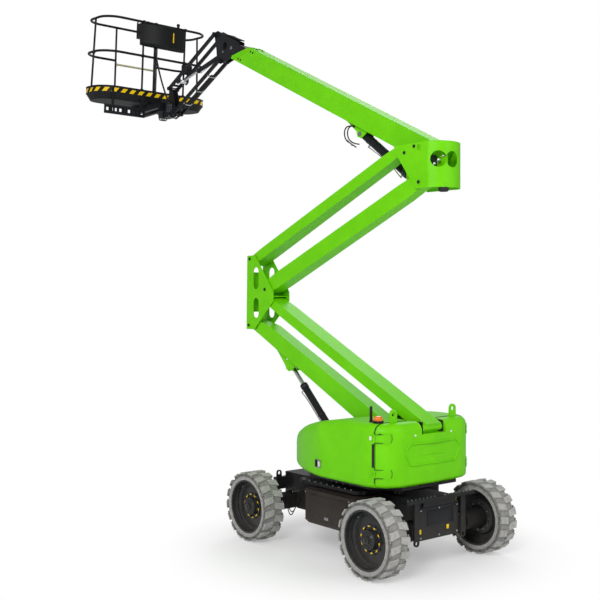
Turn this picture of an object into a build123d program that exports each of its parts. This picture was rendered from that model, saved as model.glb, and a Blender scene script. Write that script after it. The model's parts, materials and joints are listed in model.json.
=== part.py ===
from build123d import *
from math import asin, atan2, cos, degrees, hypot, pi, radians, sin, tan
import os

# Articulating boom lift, in millimetres. +X is forward, +Y is left and +Z is up. The origin is on
# the ground under the slewing axis. Angles are in degrees. A spot in a boom plane is (x, z).

# ------------------------------------------------------------------ driving sizes: wheels and chassis
WHEEL_BASE = 2120
OVERALL_WIDTH = 2000
TYRE_RADIUS = 420
TYRE_WIDTH = 276
CARCASS_RADIUS = 400
LUG_COUNT = 17           # on each shoulder
LUG_WIDTH = 82
LUG_SLANT = 16
BEAD_RADIUS = 312
RIM_WALL = 10
RIM_DISH = 118           # from the tyre's outer face to the wheel disc
DISC_THICKNESS = 16
HUB_RADIUS = 104
HUB_LENGTH = 62
NUT_COUNT = 10
NUT_CIRCLE = 145
NUT_SIZE = 15
HUB_MOTOR_RADIUS = 118
KINGPIN_Y = 600
KINGPIN_RADIUS = 24
AXLE_HALF_HEIGHT = 85
AXLE_HALF_DEPTH = 95
DIFF_RADIUS = 112
FRAME_END_GAP = 25       # from the axle housing to the frame's end
FRAME_HALF_WIDTH = 290
FRAME_LOW = 330
FRAME_TOP = 760
SIDE_BOX_FRONT = 290
SIDE_BOX_REAR = -560
SIDE_BOX_OUTER = 720
SIDE_BOX_LOW = 335
SIDE_BOX_TOP = 735
DECK_TOP = 800
SLEW_RADIUS = 430
SLEW_TOP = 868
EYE_BORE = 22            # tie-down and lifting eyes
LIFT_EYE_BORE = 26
EYE_PLATE = 20

# ------------------------------------------------------------------ driving sizes: turret
BASE_THICKNESS = 34
HOOD_LOW = 912
HOOD_TOP = 1605
HOOD_HALF = 762
HOOD_SEAM = -930
HOOD_NOSE = 1060
HOOD_SHOULDER = -560     # where the level top starts to fall towards the nose
HOOD_EDGE = 100          # rounding of the hood's top edge
HOOD_HEM = 45            # rounding of its bottom edge
HOOD_SKIN = 16
TAIL_REAR = -1130
TAIL_CORNER = 350
TAIL_WALL = 30
NOTCH_FLOOR = 1470       # of the notch in the tail, under the guide link
CHANNEL_HALF = 190       # half of the gap between the two hoods, where the risers lie
UPRIGHT_Y = 150          # inner face of each upright plate
UPRIGHT_PLATE = 20
DOOR_GAP = 6
HINGE_STAND_OFF = 0

# ------------------------------------------------------------------ driving sizes: risers
PIN_RADIUS = 25
PIN_GAP = 0.3            # radial gap between a pin and its bores
PIN_HEAD = 30
HEAD_THICKNESS = 5
PLATE = 12               # knuckle side plates
BOX_WALL = 8             # wall of the welded box sections
KNUCKLE_APEX = 45        # rounding of its rear corners
KNUCKLE_SLOT = 62        # half width of its slots
KNUCKLE_Y = 128          # inner face of the lower knuckle's plates
LINK_Y = 118             # half of the riser links' width
LOWER_NEAR = 110         # side faces of the lower riser's main link
LOWER_FAR = -76
LOWER_FOOT = (-617, 1219)        # pivot of the lower riser's main link on the turret
GUIDE_FOOT = (-1049, 1534)       # pivot of its guide link
RISER_ANGLE = 26.3
RISER_LENGTH = 3120
UPPER_ANGLE = 22.3       # the upper riser climbs to the rear
UPPER_LENGTH = 3068
MAIN_STEP = (67, 169)    # from the guide link's front pin to the upper main link's front pin
STRUT_STEP = (409, 588)  # the same to the upper strut's front pin
RISER_CYLINDER_FOOT = (360, 1060)
RISER_EYE_ALONG = 2180   # rod eye on the lower link, along its pin line and below it
RISER_EYE_BELOW = 132
EAR_Y = 56               # inner face of the ears that hold the riser cylinder's rod
EYE_POCKET = (-205, 15)  # ends of the pocket over the rod's eye, along the link from the eye
UPPER_RATIO = 0.76       # turn of the upper riser for each degree of the lower one

# ------------------------------------------------------------------ driving sizes: upper knuckle and main boom
WRAP_CENTRE_Y = -110     # the upper knuckle is a bent plate around this line
WRAP_HALF = 250
WRAP_REAR = -1160        # where its sides turn into the round back
WRAP_DEPTH = 155
WRAP_LOW = 4180
WRAP_TOP = 4690
MID_PLATE_Y = -62        # far face of the plate between the links and the boom
BOOM_Y = -190            # centre plane of the main boom, jib and cage
BOOM_HALF = 115
BOOM_STEP = (0, 388)     # from the upper main link's rear pin to the boom pivot
BOOM_ANGLE = 26.9
BOOM_ABOVE = 78          # top and bottom face of the boom, from the pivot's line
BOOM_BELOW = 185
BOOM_TAIL = -95
BOOM_TOP_END = 3975
BOOM_LOW_END = 4330
LIFT_EYE_ALONG = 1258
LIFT_EYE_BELOW = 258
LIFT_EAR_Y = 66
LIFT_FOOT_STEP = (319, -355)     # from the boom pivot to the lift cylinder's foot
INNER_HALF_WIDTH = 84
INNER_HALF_DEPTH = 95
INNER_START = 950
NOSE_ALONG = 4446
NOSE_BELOW = 57

# ------------------------------------------------------------------ driving sizes: jib and cage
JIB_TOP_PIN = (3415, 6895)
JIB_LOW_PIN = (3295, 6483)
JIB_ANGLE = -24.4
JIB_LENGTH = 1416
JIB_BAR_Y = 65           # inner face of the jib bars, from the boom plane
JIB_BAR_THICKNESS = 20
JIB_BAR_DEPTH = 62
JIB_PIN_RADIUS = 18
NOSE_PLATE_Y = 40
JIB_CYLINDER_FOOT = (3225, 6600)
JIB_EYE_ALONG = 1130
JIB_EYE_BELOW = 55
ROTATOR_X = 4810
ROTATOR_RADIUS = 80
ROTATOR_LOW = 5890
ROTATOR_TOP = 6110
CAGE_X = 5565
CAGE_DEPTH = 780
CAGE_LENGTH = 2040
CAGE_CORNER = 330
CAGE_FLOOR_TOP = 6370
CAGE_FLOOR_THICKNESS = 205
CAGE_TRAY_DEPTH = 45
CAGE_PITCH = 4.0
RAIL_HEIGHT = 1085
MID_RAIL_HEIGHT = 545
RAIL_RADIUS = 19
POST_RADIUS = 16
GATE_HALF = 387
TOP_RAIL_INSET = 43      # of each end of the top rail, over the middle rail's ends


# ------------------------------------------------------------------ helpers
def spot(start, angle, along, above=0.0):
    """The spot at (along, above) from start, on a line at this angle."""
    a = radians(angle)
    return (start[0] + along * cos(a) - above * sin(a), start[1] + along * sin(a) + above * cos(a))


def step(start, offset):
    return (start[0] + offset[0], start[1] + offset[1])


def slab(outline, y0, y1):
    """A plate whose outline lies in the X-Z plane, from y0 to y1."""
    face = make_face(Polyline(*[(x, y0, z) for x, z in outline], close=True))
    return extrude(face, amount=y1 - y0, dir=(0, 1, 0))


def plan(outline, z0, z1):
    """A plate whose outline lies in the X-Y plane, from z0 to z1."""
    face = make_face(Polyline(*[(x, y, z0) for x, y in outline], close=True))
    return extrude(face, amount=z1 - z0, dir=(0, 0, 1))


def block(x0, x1, y0, y1, z0, z1):
    return Pos((x0 + x1) / 2, (y0 + y1) / 2, (z0 + z1) / 2) * Box(x1 - x0, y1 - y0, z1 - z0)


def disc(centre, radius, y0, y1):
    """A cylinder along Y at a spot in the X-Z plane."""
    return Pos(centre[0], (y0 + y1) / 2, centre[1]) * Rot(90, 0, 0) * Cylinder(radius, y1 - y0)


def rod(start, end, radius):
    """A round bar between two points."""
    axis = Vector(*end) - Vector(*start)
    return extrude(Plane(origin=start, z_dir=axis) * Circle(radius), amount=axis.length)


def pin(centre, y0, y1, radius=PIN_RADIUS, low_head=True, high_head=True):
    """A pivot pin from y0 to y1 with a round head past each end."""
    shape = disc(centre, radius, y0, y1)
    if low_head:
        shape += disc(centre, PIN_HEAD, y0 - HEAD_THICKNESS, y0)
    if high_head:
        shape += disc(centre, PIN_HEAD, y1, y1 + HEAD_THICKNESS)
    return shape


def bore(centre, radius=PIN_RADIUS):
    """What is cut away for a pin."""
    return disc(centre, radius + PIN_GAP, -1500, 1500)


def slot(low, high, half_width, y0, y1):
    """A slot with round ends between two spots, one above the other."""
    middle = block(low[0] - half_width, low[0] + half_width, y0, y1, low[1], high[1])
    return middle + disc(low, half_width, y0, y1) + disc(high, half_width, y0, y1)


def both_sides(shape):
    return shape + mirror(shape, about=Plane.XZ)


def write(name, *shapes):
    solids = []
    for shape in shapes:
        solids += shape.solids()
    export_step(Compound(children=solids) if len(solids) > 1 else solids[0], f"parts/{name}.step")


# ------------------------------------------------------------------ places that follow from the sizes
MAIN_FOOT = LOWER_FOOT
K4 = spot(LOWER_FOOT, RISER_ANGLE, RISER_LENGTH)
K3 = spot(GUIDE_FOOT, RISER_ANGLE, RISER_LENGTH)
K2 = step(K3, MAIN_STEP)
K1 = step(K3, STRUT_STEP)
UPPER_HEADING = 180 - UPPER_ANGLE
U2 = spot(K2, UPPER_HEADING, UPPER_LENGTH)
U1 = spot(K1, UPPER_HEADING, UPPER_LENGTH)
BOOM_PIVOT = step(U2, BOOM_STEP)
LIFT_FOOT = step(BOOM_PIVOT, LIFT_FOOT_STEP)
LIFT_EYE = spot(BOOM_PIVOT, BOOM_ANGLE, LIFT_EYE_ALONG, -LIFT_EYE_BELOW)
NOSE_PIVOT = spot(BOOM_PIVOT, BOOM_ANGLE, NOSE_ALONG, -NOSE_BELOW)
RISER_EYE = spot(LOWER_FOOT, RISER_ANGLE, RISER_EYE_ALONG, -RISER_EYE_BELOW)
JIB_TOP_END = spot(JIB_TOP_PIN, JIB_ANGLE, JIB_LENGTH)
JIB_LOW_END = spot(JIB_LOW_PIN, JIB_ANGLE, JIB_LENGTH)
JIB_EYE = spot(JIB_TOP_PIN, JIB_ANGLE, JIB_EYE_ALONG, -JIB_EYE_BELOW)
LUG_TOP = TYRE_RADIUS * cos(asin((LUG_WIDTH / 2 + LUG_SLANT) / TYRE_RADIUS))
AXLE_Z = TYRE_RADIUS - 0.5
WHEEL_Y = (OVERALL_WIDTH - TYRE_WIDTH) / 2
AXLE_X = WHEEL_BASE / 2
UPRIGHT_OUTER = UPRIGHT_Y + UPRIGHT_PLATE
FRAME_HALF_LENGTH = AXLE_X + AXLE_HALF_DEPTH + FRAME_END_GAP
SEAM_DEPTH = TAIL_REAR + TAIL_CORNER - HOOD_SEAM     # of the seam into the body's rounded corner
HINGE_Y = HOOD_HALF - TAIL_CORNER + (TAIL_CORNER ** 2 - SEAM_DEPTH ** 2) ** 0.5 + HINGE_STAND_OFF
KNUCKLE_OUTER = KNUCKLE_Y + PLATE

os.makedirs("parts", exist_ok=True)


# ------------------------------------------------------------------ wheels
def ring(profile):
    """A ring around Y from (radius, y) corners."""
    face = make_face(Polyline(*[(r, y, 0) for r, y in profile], close=True))
    return revolve(face, axis=Axis.Y, revolution_arc=360)


def tyre_shape():
    """A carcass with a row of lugs on each shoulder, half a pitch apart, centred on the origin."""
    half = TYRE_WIDTH / 2
    bead = BEAD_RADIUS + PIN_GAP
    carcass = ring([
        (bead, -half + 23), (bead + 20, -half + 23), (bead + 26, -half + 6), (CARCASS_RADIUS - 34, -half),
        (CARCASS_RADIUS, -half + 30), (CARCASS_RADIUS, half - 30), (CARCASS_RADIUS - 34, half),
        (bead + 26, half - 6), (bead + 20, half - 23), (bead, half - 23),
    ])
    pitch = 360 / LUG_COUNT
    lugs = []
    for side, first in ((1, 0), (-1, pitch / 2)):
        for index in range(LUG_COUNT):
            angle = first + index * pitch - 90
            outline = [(-LUG_WIDTH / 2, half - 4), (LUG_WIDTH / 2, half - 4),
                       (LUG_WIDTH / 2 + LUG_SLANT, 12), (-LUG_WIDTH / 2 + 26, 12)]
            low = CARCASS_RADIUS - 12
            face = make_face(Polyline(*[(x, y * side, low) for x, y in outline], close=True))
            lug = extrude(face, amount=LUG_TOP - low, dir=(0, 0, 1))
            lugs.append(Rot(0, angle + 90 + 180, 0) * lug)
    return carcass + lugs


def rim_shape():
    """A dished wheel with its planetary hub and nuts; +Y is the outside."""
    half = TYRE_WIDTH / 2
    lip = half - 14
    disc_out = half - RIM_DISH
    inner = BEAD_RADIUS - RIM_WALL
    wheel = ring([
        (BEAD_RADIUS + 16, lip), (BEAD_RADIUS + 16, lip - 6), (BEAD_RADIUS, lip - 8),
        (BEAD_RADIUS, -lip + 8), (BEAD_RADIUS + 16, -lip + 6), (BEAD_RADIUS + 16, -lip),
        (inner, -lip), (inner, disc_out - DISC_THICKNESS - 26), (inner - 46, disc_out - DISC_THICKNESS),
        (HUB_RADIUS - 10, disc_out - DISC_THICKNESS), (HUB_RADIUS - 10, disc_out + HUB_LENGTH),
        (HUB_RADIUS - 2, disc_out + HUB_LENGTH), (HUB_RADIUS, disc_out), (inner - 40, disc_out),
        (inner, disc_out + 26), (inner, lip),
    ])
    cap = disc((0, 0), HUB_RADIUS - 10, disc_out - DISC_THICKNESS, disc_out + HUB_LENGTH)
    nuts = [
        Rot(0, i * 360 / NUT_COUNT, 0) * Pos(NUT_CIRCLE, disc_out + 9, 0) * Rot(90, 0, 0)
        * extrude(RegularPolygon(NUT_SIZE, 6), amount=9, both=True)
        for i in range(NUT_COUNT)
    ]
    return wheel + cap + nuts


tyre = tyre_shape()
rim = rim_shape()
# name, axle position, side
WHEELS = (("front_left", 1, 1), ("front_right", 1, -1), ("rear_left", -1, 1), ("rear_right", -1, -1))
for name, end, side in WHEELS:
    place = Pos(end * AXLE_X, side * WHEEL_Y, AXLE_Z)
    turn = Rot(0, 0, 0 if side > 0 else 180)
    write(f"tyre_{name}", place * turn * tyre)
    write(f"rim_{name}", place * turn * rim)

# ------------------------------------------------------------------ axles and steering knuckles
DISC_IN = WHEEL_Y + TYRE_WIDTH / 2 - RIM_DISH - DISC_THICKNESS
axle_bar = block(-AXLE_HALF_DEPTH, AXLE_HALF_DEPTH, -KINGPIN_Y + 90, KINGPIN_Y - 90,
                 AXLE_Z - AXLE_HALF_HEIGHT, AXLE_Z + AXLE_HALF_HEIGHT)
diff = Pos(0, 0, AXLE_Z) * Rot(90, 0, 0) * Cylinder(DIFF_RADIUS, 300)
YOKE_OUT = HUB_MOTOR_RADIUS + 26
yoke = [
    block(-50, 50, KINGPIN_Y - 95, KINGPIN_Y + 45, AXLE_Z + level * YOKE_OUT - 10, AXLE_Z + level * YOKE_OUT + 10)
    for level in (-1, 1)
]
yoke_back = block(-60, 60, KINGPIN_Y - 110, KINGPIN_Y - 88, AXLE_Z - YOKE_OUT - 10, AXLE_Z + YOKE_OUT + 10)
front_axle = axle_bar + diff + both_sides(yoke_back + yoke)
front_axle -= both_sides(Pos(0, KINGPIN_Y, AXLE_Z) * Cylinder(KINGPIN_RADIUS + PIN_GAP, 500))
write("front_axle", Pos(AXLE_X, 0, 0) * front_axle)
hub_motor = disc((0, AXLE_Z), HUB_MOTOR_RADIUS, KINGPIN_Y - 40, DISC_IN - 0.5)
rear_hub = disc((0, AXLE_Z), HUB_MOTOR_RADIUS, KINGPIN_Y - 100, DISC_IN - 0.5)
write("rear_axle", Pos(-AXLE_X, 0, 0) * (axle_bar + diff + both_sides(rear_hub)))
kingpin = Pos(0, KINGPIN_Y, AXLE_Z) * Cylinder(KINGPIN_RADIUS, 2 * (YOKE_OUT + 16))
steer_arm = block(-190, -20, KINGPIN_Y - 34, KINGPIN_Y + 10, AXLE_Z - 30, AXLE_Z - 6)
knuckle = hub_motor + kingpin + steer_arm
for name, side in (("left", 1), ("right", -1)):
    shape = knuckle if side > 0 else mirror(knuckle, about=Plane.XZ)
    write(f"steer_knuckle_{name}", Pos(AXLE_X, 0, 0) * shape)

# ------------------------------------------------------------------ chassis
axle_room = [block(end * AXLE_X - 110, end * AXLE_X + 110, -600, 600, 0, AXLE_Z + AXLE_HALF_HEIGHT)
             for end in (-1, 1)]
diff_room = [Pos(end * AXLE_X, 0, AXLE_Z) * Rot(90, 0, 0) * Cylinder(DIFF_RADIUS, 2 * 300) for end in (-1, 1)]
frame = block(-FRAME_HALF_LENGTH, FRAME_HALF_LENGTH, -FRAME_HALF_WIDTH, FRAME_HALF_WIDTH, FRAME_LOW, FRAME_TOP)
frame = chamfer(frame.edges().filter_by(Axis.Y).sort_by(Axis.Z)[:2], 120)
frame = frame - axle_room - diff_room
rear_bumper = block(-FRAME_HALF_LENGTH - 60, -FRAME_HALF_LENGTH, -540, 540, 752, 790)
rear_bumper += block(-FRAME_HALF_LENGTH - 20, -FRAME_HALF_LENGTH, -250, 250, 690, 760)
front_bumper = block(FRAME_HALF_LENGTH, FRAME_HALF_LENGTH + 70, -430, 430, 540, 690)
deck = fillet(block(-560, 560, -610, 610, FRAME_TOP, DECK_TOP).edges().filter_by(Axis.Z), 120)
eye_places = [(end * (FRAME_HALF_LENGTH + 30), side * 370) for end in (-1, 1) for side in (-1, 1)]
eyes = []
for x, y in eye_places:
    reach = 320 if x < 0 else 742
    root = 752 if x < 0 else 690
    eye = block(x - 10, x + 10, y - 38, y + 38, min(reach, root), max(reach, root))
    eye += Pos(x, y, reach) * Rot(0, 90, 0) * Cylinder(38, EYE_PLATE)
    eyes.append(eye - Pos(x, y, reach) * Rot(0, 90, 0) * Cylinder(EYE_BORE, 60))
write("chassis_frame", frame + rear_bumper + front_bumper + deck + eyes)
slew_ring = Pos(0, 0, (DECK_TOP + SLEW_TOP) / 2) * (
    Cylinder(SLEW_RADIUS, SLEW_TOP - DECK_TOP) - Cylinder(SLEW_RADIUS - 110, SLEW_TOP - DECK_TOP + 2))
write("slew_ring", slew_ring)
side_box = block(SIDE_BOX_REAR, SIDE_BOX_FRONT, FRAME_HALF_WIDTH, SIDE_BOX_OUTER, SIDE_BOX_LOW, SIDE_BOX_TOP)
side_box = fillet(side_box.edges().filter_by(Axis.Z).group_by(Axis.Y)[-1], 60)
side_box = chamfer(side_box.edges().group_by(Axis.Z)[0].sort_by(Axis.Y)[-1:], 40)
write("side_box_left", side_box)
write("side_box_right", mirror(side_box, about=Plane.XZ))
cover = slab([(-FRAME_HALF_LENGTH - 14, 330), (-FRAME_HALF_LENGTH, 330), (-FRAME_HALF_LENGTH, 688),
              (-FRAME_HALF_LENGTH - 14, 688)], -320, 320)
write("rear_cover", cover)

# ------------------------------------------------------------------ turret: base and uprights
BASE_LOW = SLEW_TOP
BASE_TOP = BASE_LOW + BASE_THICKNESS
base = plan([(-1060, -430), (-1060, 430), (-760, 640), (250, 640), (620, 400), (900, 240), (900, -240),
             (620, -400), (250, -640), (-760, -640)], BASE_LOW, BASE_TOP)
upright_outline = [(-1095, BASE_TOP), (900, BASE_TOP), (820, 1060), (450, 1180), (-380, 1300), (-900, 1600),
                   (-1095, 1600)]
upright = slab(upright_outline, UPRIGHT_Y, UPRIGHT_OUTER)
pockets = [slot((x, 1010), (x, top), 60, 0, 500) for x, top in ((-860, 1240), (-330, 1100), (60, 1060))]
upright -= pockets
frame_bores = [bore(LOWER_FOOT), bore(GUIDE_FOOT), bore(RISER_CYLINDER_FOOT)]
turret_frame = base + both_sides(upright)
turret_frame -= Pos(0, 0, BASE_LOW) * Cylinder(SLEW_RADIUS - 130, 200)
turret_frame -= frame_bores
write("turret_frame", turret_frame)
turret_pins = [pin(place, -UPRIGHT_OUTER - PIN_GAP, UPRIGHT_OUTER + PIN_GAP)
               for place in (LOWER_FOOT, GUIDE_FOOT, RISER_CYLINDER_FOOT)]
write("turret_pins", *turret_pins)


# ------------------------------------------------------------------ turret: hoods and tail
def turret_plan(inset):
    """Outline of the turret body seen from above, moved inwards by inset."""
    half = HOOD_HALF - inset
    nose = HOOD_NOSE - inset * 1.6
    rear = TAIL_REAR + inset
    nose_arc = ThreePointArc((nose, CHANNEL_HALF), (610 - inset, 524 - inset * 0.8), (-50, half))
    side = Line((-50, half), (rear + TAIL_CORNER, half))
    corner = ThreePointArc((rear + TAIL_CORNER, half),
                           (rear + 20 + TAIL_CORNER * 0.293, half - TAIL_CORNER * 0.293),
                           (rear + 24, half - TAIL_CORNER))
    back = Line((rear + 24, half - TAIL_CORNER), (rear, 0))
    middle = Line((rear, 0), (nose, 0))
    end = Line((nose, 0), (nose, CHANNEL_HALF))
    return make_face(nose_arc + side + corner + back + middle + end)


def turret_side_view(inset):
    """The turret body from the side: level at the rear, then a dome that falls to the nose."""
    top = HOOD_TOP - inset
    rear = TAIL_REAR - 200
    nose = HOOD_NOSE + 20
    low = HOOD_LOW + inset
    outline = Line((rear, low), (rear, top)) + Line((rear, top), (HOOD_SHOULDER, top))
    outline += ThreePointArc((HOOD_SHOULDER, top), (80, top - 73), (640, top - 230))
    outline += ThreePointArc((640, top - 230), (880, top - 343), (nose, top - 545))
    outline += Line((nose, top - 545), (nose, low)) + Line((nose, low), (rear, low))
    return extrude(Plane.XZ * make_face(outline), amount=HOOD_HALF + 100, dir=(0, 1, 0))


def turret_form(inset):
    """One half of the turret body with its rounded top and bottom edges."""
    form = extrude(Pos(0, 0, HOOD_LOW) * turret_plan(inset), amount=HOOD_TOP + 50 - HOOD_LOW)
    form &= turret_side_view(inset)
    lying = [e for e in form.edges() if (e @ 0 - e @ 1).Z ** 2 < (e @ 0 - e @ 1).length ** 2 * 0.9]
    crest = [e for e in lying if e.center().Z > HOOD_TOP - 600 and e.center().Y > CHANNEL_HALF + 20]
    form = fillet(crest, HOOD_EDGE - inset)
    foot = form.edges().group_by(Axis.Z)[0].filter_by(lambda e: e.center().Y > CHANNEL_HALF + 20)
    return fillet(foot, HOOD_HEM - inset)


def hinge_leaf(x0, x1, low, high):
    """A leaf on the body's side, round its corner, 6 mm proud of it."""
    proud = extrude(Pos(0, 0, low) * turret_plan(-6), amount=high - low)
    proud -= extrude(Pos(0, 0, low - 5) * turret_plan(2), amount=high - low + 10)
    return proud & block(x0, x1, 400, 900, low, high)


outer = turret_form(0)
inner = turret_form(HOOD_SKIN)
mouth = extrude(Pos(0, 0, HOOD_LOW - 10) * turret_plan(HOOD_HEM + HOOD_SKIN), amount=40)
hood_space = block(HOOD_SEAM + DOOR_GAP, HOOD_NOSE + 10, CHANNEL_HALF, 900, HOOD_LOW, HOOD_TOP + 10)
hood_core = block(HOOD_SEAM - 10, HOOD_NOSE + 10, CHANNEL_HALF - 10, 900, HOOD_LOW - 10, HOOD_TOP + 10)
hood = (outer & hood_space) - (inner & hood_core) - (mouth & hood_core)
tail = outer & block(TAIL_REAR - 10, HOOD_SEAM - DOOR_GAP, -1, 900, HOOD_LOW, HOOD_TOP + 10)
HINGE_KNUCKLE = 12
HINGE_PIN = 7
# middle height of each hinge
for height in (1070, 1450):
    axis = Pos(HOOD_SEAM, HINGE_Y, height)
    middle = axis * Cylinder(HINGE_KNUCKLE + 10, 34)
    leaf = hinge_leaf(HOOD_SEAM - 126, HOOD_SEAM, height - 50, height + 50) - middle
    knuckles = axis * Cylinder(HINGE_KNUCKLE, 100) - middle
    tail += leaf + knuckles + axis * Cylinder(HINGE_PIN, 100)
    hood -= axis * Cylinder(HINGE_KNUCKLE + 2, 104)
    wing = hinge_leaf(HOOD_SEAM, HOOD_SEAM + 70, height - 17 + PIN_GAP, height + 17 - PIN_GAP)
    hood += wing + axis * Cylinder(HINGE_KNUCKLE, 34 - 2 * PIN_GAP)
    hood -= axis * Cylinder(HINGE_PIN + PIN_GAP, 104)
for name, side in (("left", 1), ("right", -1)):
    shape = hood if side > 0 else mirror(hood, about=Plane.XZ)
    write(f"hood_{name}", shape)
tail += block(-1050, -950, UPRIGHT_OUTER + 25, 420, BASE_TOP, HOOD_LOW + 5)
tail = both_sides(tail)
tail -= block(TAIL_REAR + TAIL_WALL, HOOD_SEAM + 10, -CHANNEL_HALF, CHANNEL_HALF, BASE_TOP - 10, HOOD_TOP + 10)
tail -= block(TAIL_REAR - 10, HOOD_SEAM + 10, -CHANNEL_HALF, CHANNEL_HALF, NOTCH_FLOOR, HOOD_TOP + 10)
tail += block(TAIL_REAR + TAIL_WALL / 2, HOOD_SEAM - DOOR_GAP, -UPRIGHT_Y + 2, UPRIGHT_Y - 2,
              NOTCH_FLOOR - 24, NOTCH_FLOOR)
sign_recess = block(TAIL_REAR - 10, TAIL_REAR + 14, -330, 330, 1236, 1376)
tail -= sign_recess
LIFT_EYE_X = -960
LIFT_EYE_Y = 476
LIFT_EYE_Z = HOOD_TOP + 92
lifting_eyes = []
for side in (-1, 1):
    middle = Pos(LIFT_EYE_X, side * LIFT_EYE_Y, LIFT_EYE_Z) * Rot(0, 90, 0)
    eye = middle * Cylinder(52, EYE_PLATE)
    eye += block(LIFT_EYE_X - 10, LIFT_EYE_X + 10, side * LIFT_EYE_Y - 52, side * LIFT_EYE_Y + 52,
                 HOOD_TOP - 30, LIFT_EYE_Z)
    lifting_eyes.append(eye - middle * Cylinder(LIFT_EYE_BORE, 60))
tail = tail + lifting_eyes
write("counterweight_tail", tail)
engine = fillet(block(-600, 200, CHANNEL_HALF + 20, 580, BASE_TOP, 1400).edges().filter_by(Axis.X), 40)
write("engine_block", engine)
write("tank_block", mirror(fillet(block(-600, 200, CHANNEL_HALF + 20, 580, BASE_TOP, 1360)
                                  .edges().filter_by(Axis.Z), 60), about=Plane.XZ))
BEACON_X = -862
BEACON_Y = 606
beacon = Pos(BEACON_X, BEACON_Y, HOOD_TOP + 10) * Cylinder(58, 40)
beacon += Pos(BEACON_X, BEACON_Y, HOOD_TOP + 30 + 17) * Cylinder(48, 34)
write("beacon", beacon - outer)


# ------------------------------------------------------------------ box beams
def tapered_beam(start, angle, outline, near, far_start, far_end, length, bosses):
    """A welded box beam. outline is its side view as (along, above) from start. The near face is
    at Y near; the far face runs from far_start to far_end over the length. Bosses are
    (spot, radius, far y, near y)."""
    def form(shrink):
        side = [spot(start, angle, u, v) for u, v in outline(shrink)]
        direction = 1 if cos(radians(angle)) > 0 else -1
        x0 = start[0]
        x1 = start[0] + direction * length * abs(cos(radians(angle)))
        reach = (far_end - far_start) / (x1 - x0)
        pad = 400 * direction
        top_view = [(x0 - pad, near - shrink), (x1 + pad, near - shrink),
                    (x1 + pad, far_end + reach * pad + shrink), (x0 - pad, far_start - reach * pad + shrink)]
        lows = min(z for _, z in side) - 10
        highs = max(z for _, z in side) + 10
        return slab(side, -600, 600) & plan(top_view, lows, highs)
    shell = form(0) - form(BOX_WALL)
    solid_bosses = [disc(place, radius, y0, y1) for place, radius, y0, y1 in bosses]
    result = shell + solid_bosses
    return result - [bore(place) for place, _, _, _ in bosses]


def straight_outline(length, below, above, end, taper=0):
    """Side view of a straight link, each end cut square at end before or past its pin."""
    def outline(shrink):
        b = below - shrink
        a = above - shrink
        e = end - shrink
        return [(-e, -b + taper), (e + 240, -b), (length - e - 240, -b), (length + e, -b + taper),
                (length + e, a - taper), (length - e - 240, a), (e + 240, a), (-e, a - taper)]
    return outline


def guide_outline(shrink):
    """Side view of the guide link, with a squared block at its rear end."""
    b = 66 - shrink
    return [(-40 + shrink, -48 + shrink), (150, -48 + shrink), (260, -b), (RISER_LENGTH - 280, -b),
            (RISER_LENGTH + 40 - shrink, -54 + shrink), (RISER_LENGTH + 40 - shrink, 54 - shrink),
            (RISER_LENGTH - 280, b), (-40 + shrink, b)]


guide_link = tapered_beam(GUIDE_FOOT, RISER_ANGLE, guide_outline,
                          LINK_Y, -LINK_Y, -LINK_Y, RISER_LENGTH,
                          [(GUIDE_FOOT, 52, -UPRIGHT_Y + 1, UPRIGHT_Y - 1),
                           (K3, 52, -KNUCKLE_Y + 1, KNUCKLE_Y - 1)])
write("lower_guide_link", guide_link)


def lower_outline(shrink):
    return [(-60 + shrink, -24 + shrink), (RISER_LENGTH + 40 - shrink, -24 + shrink),
            (RISER_LENGTH + 40 - shrink, 90 - shrink), (RISER_LENGTH - 380, 182 - shrink),
            (60, 226 - shrink), (-60 + shrink, 120 - shrink)]


lower_link = tapered_beam(LOWER_FOOT, RISER_ANGLE, lower_outline, LOWER_NEAR, LOWER_FAR, LOWER_FAR, RISER_LENGTH,
                          [(LOWER_FOOT, 62, -UPRIGHT_Y + 1, UPRIGHT_Y - 1),
                           (K4, 55, -KNUCKLE_Y + 1, KNUCKLE_Y - 1)])
ear_outline = [spot(LOWER_FOOT, RISER_ANGLE, u, v) for u, v in (
    (RISER_EYE_ALONG + 385, -22), (RISER_EYE_ALONG - 120, -22), (RISER_EYE_ALONG - 80, -RISER_EYE_BELOW - 10),
    (RISER_EYE_ALONG - 32, -RISER_EYE_BELOW - 46), (RISER_EYE_ALONG + 26, -RISER_EYE_BELOW - 46),
    (RISER_EYE_ALONG + 75, -RISER_EYE_BELOW - 10))]
ears = slab(ear_outline, EAR_Y, EAR_Y + 16)
window = [spot(LOWER_FOOT, RISER_ANGLE, RISER_EYE_ALONG + u, -52) for u in (85, 205)]
ears -= [disc(window[0], 22, 0, 200), disc(window[1], 16, 0, 200)]
ears += disc(RISER_EYE, PIN_HEAD + 6, EAR_Y, EAR_Y + 24)
lower_link += both_sides(ears)
pocket = [spot(LOWER_FOOT, RISER_ANGLE, RISER_EYE_ALONG + u, v)
          for u, v in ((EYE_POCKET[0], -26), (EYE_POCKET[1], -26), (EYE_POCKET[1], 20), (EYE_POCKET[0], 20))]
write("lower_riser_link", lower_link - slab(pocket, -EAR_Y + 5, EAR_Y - 5))

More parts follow.
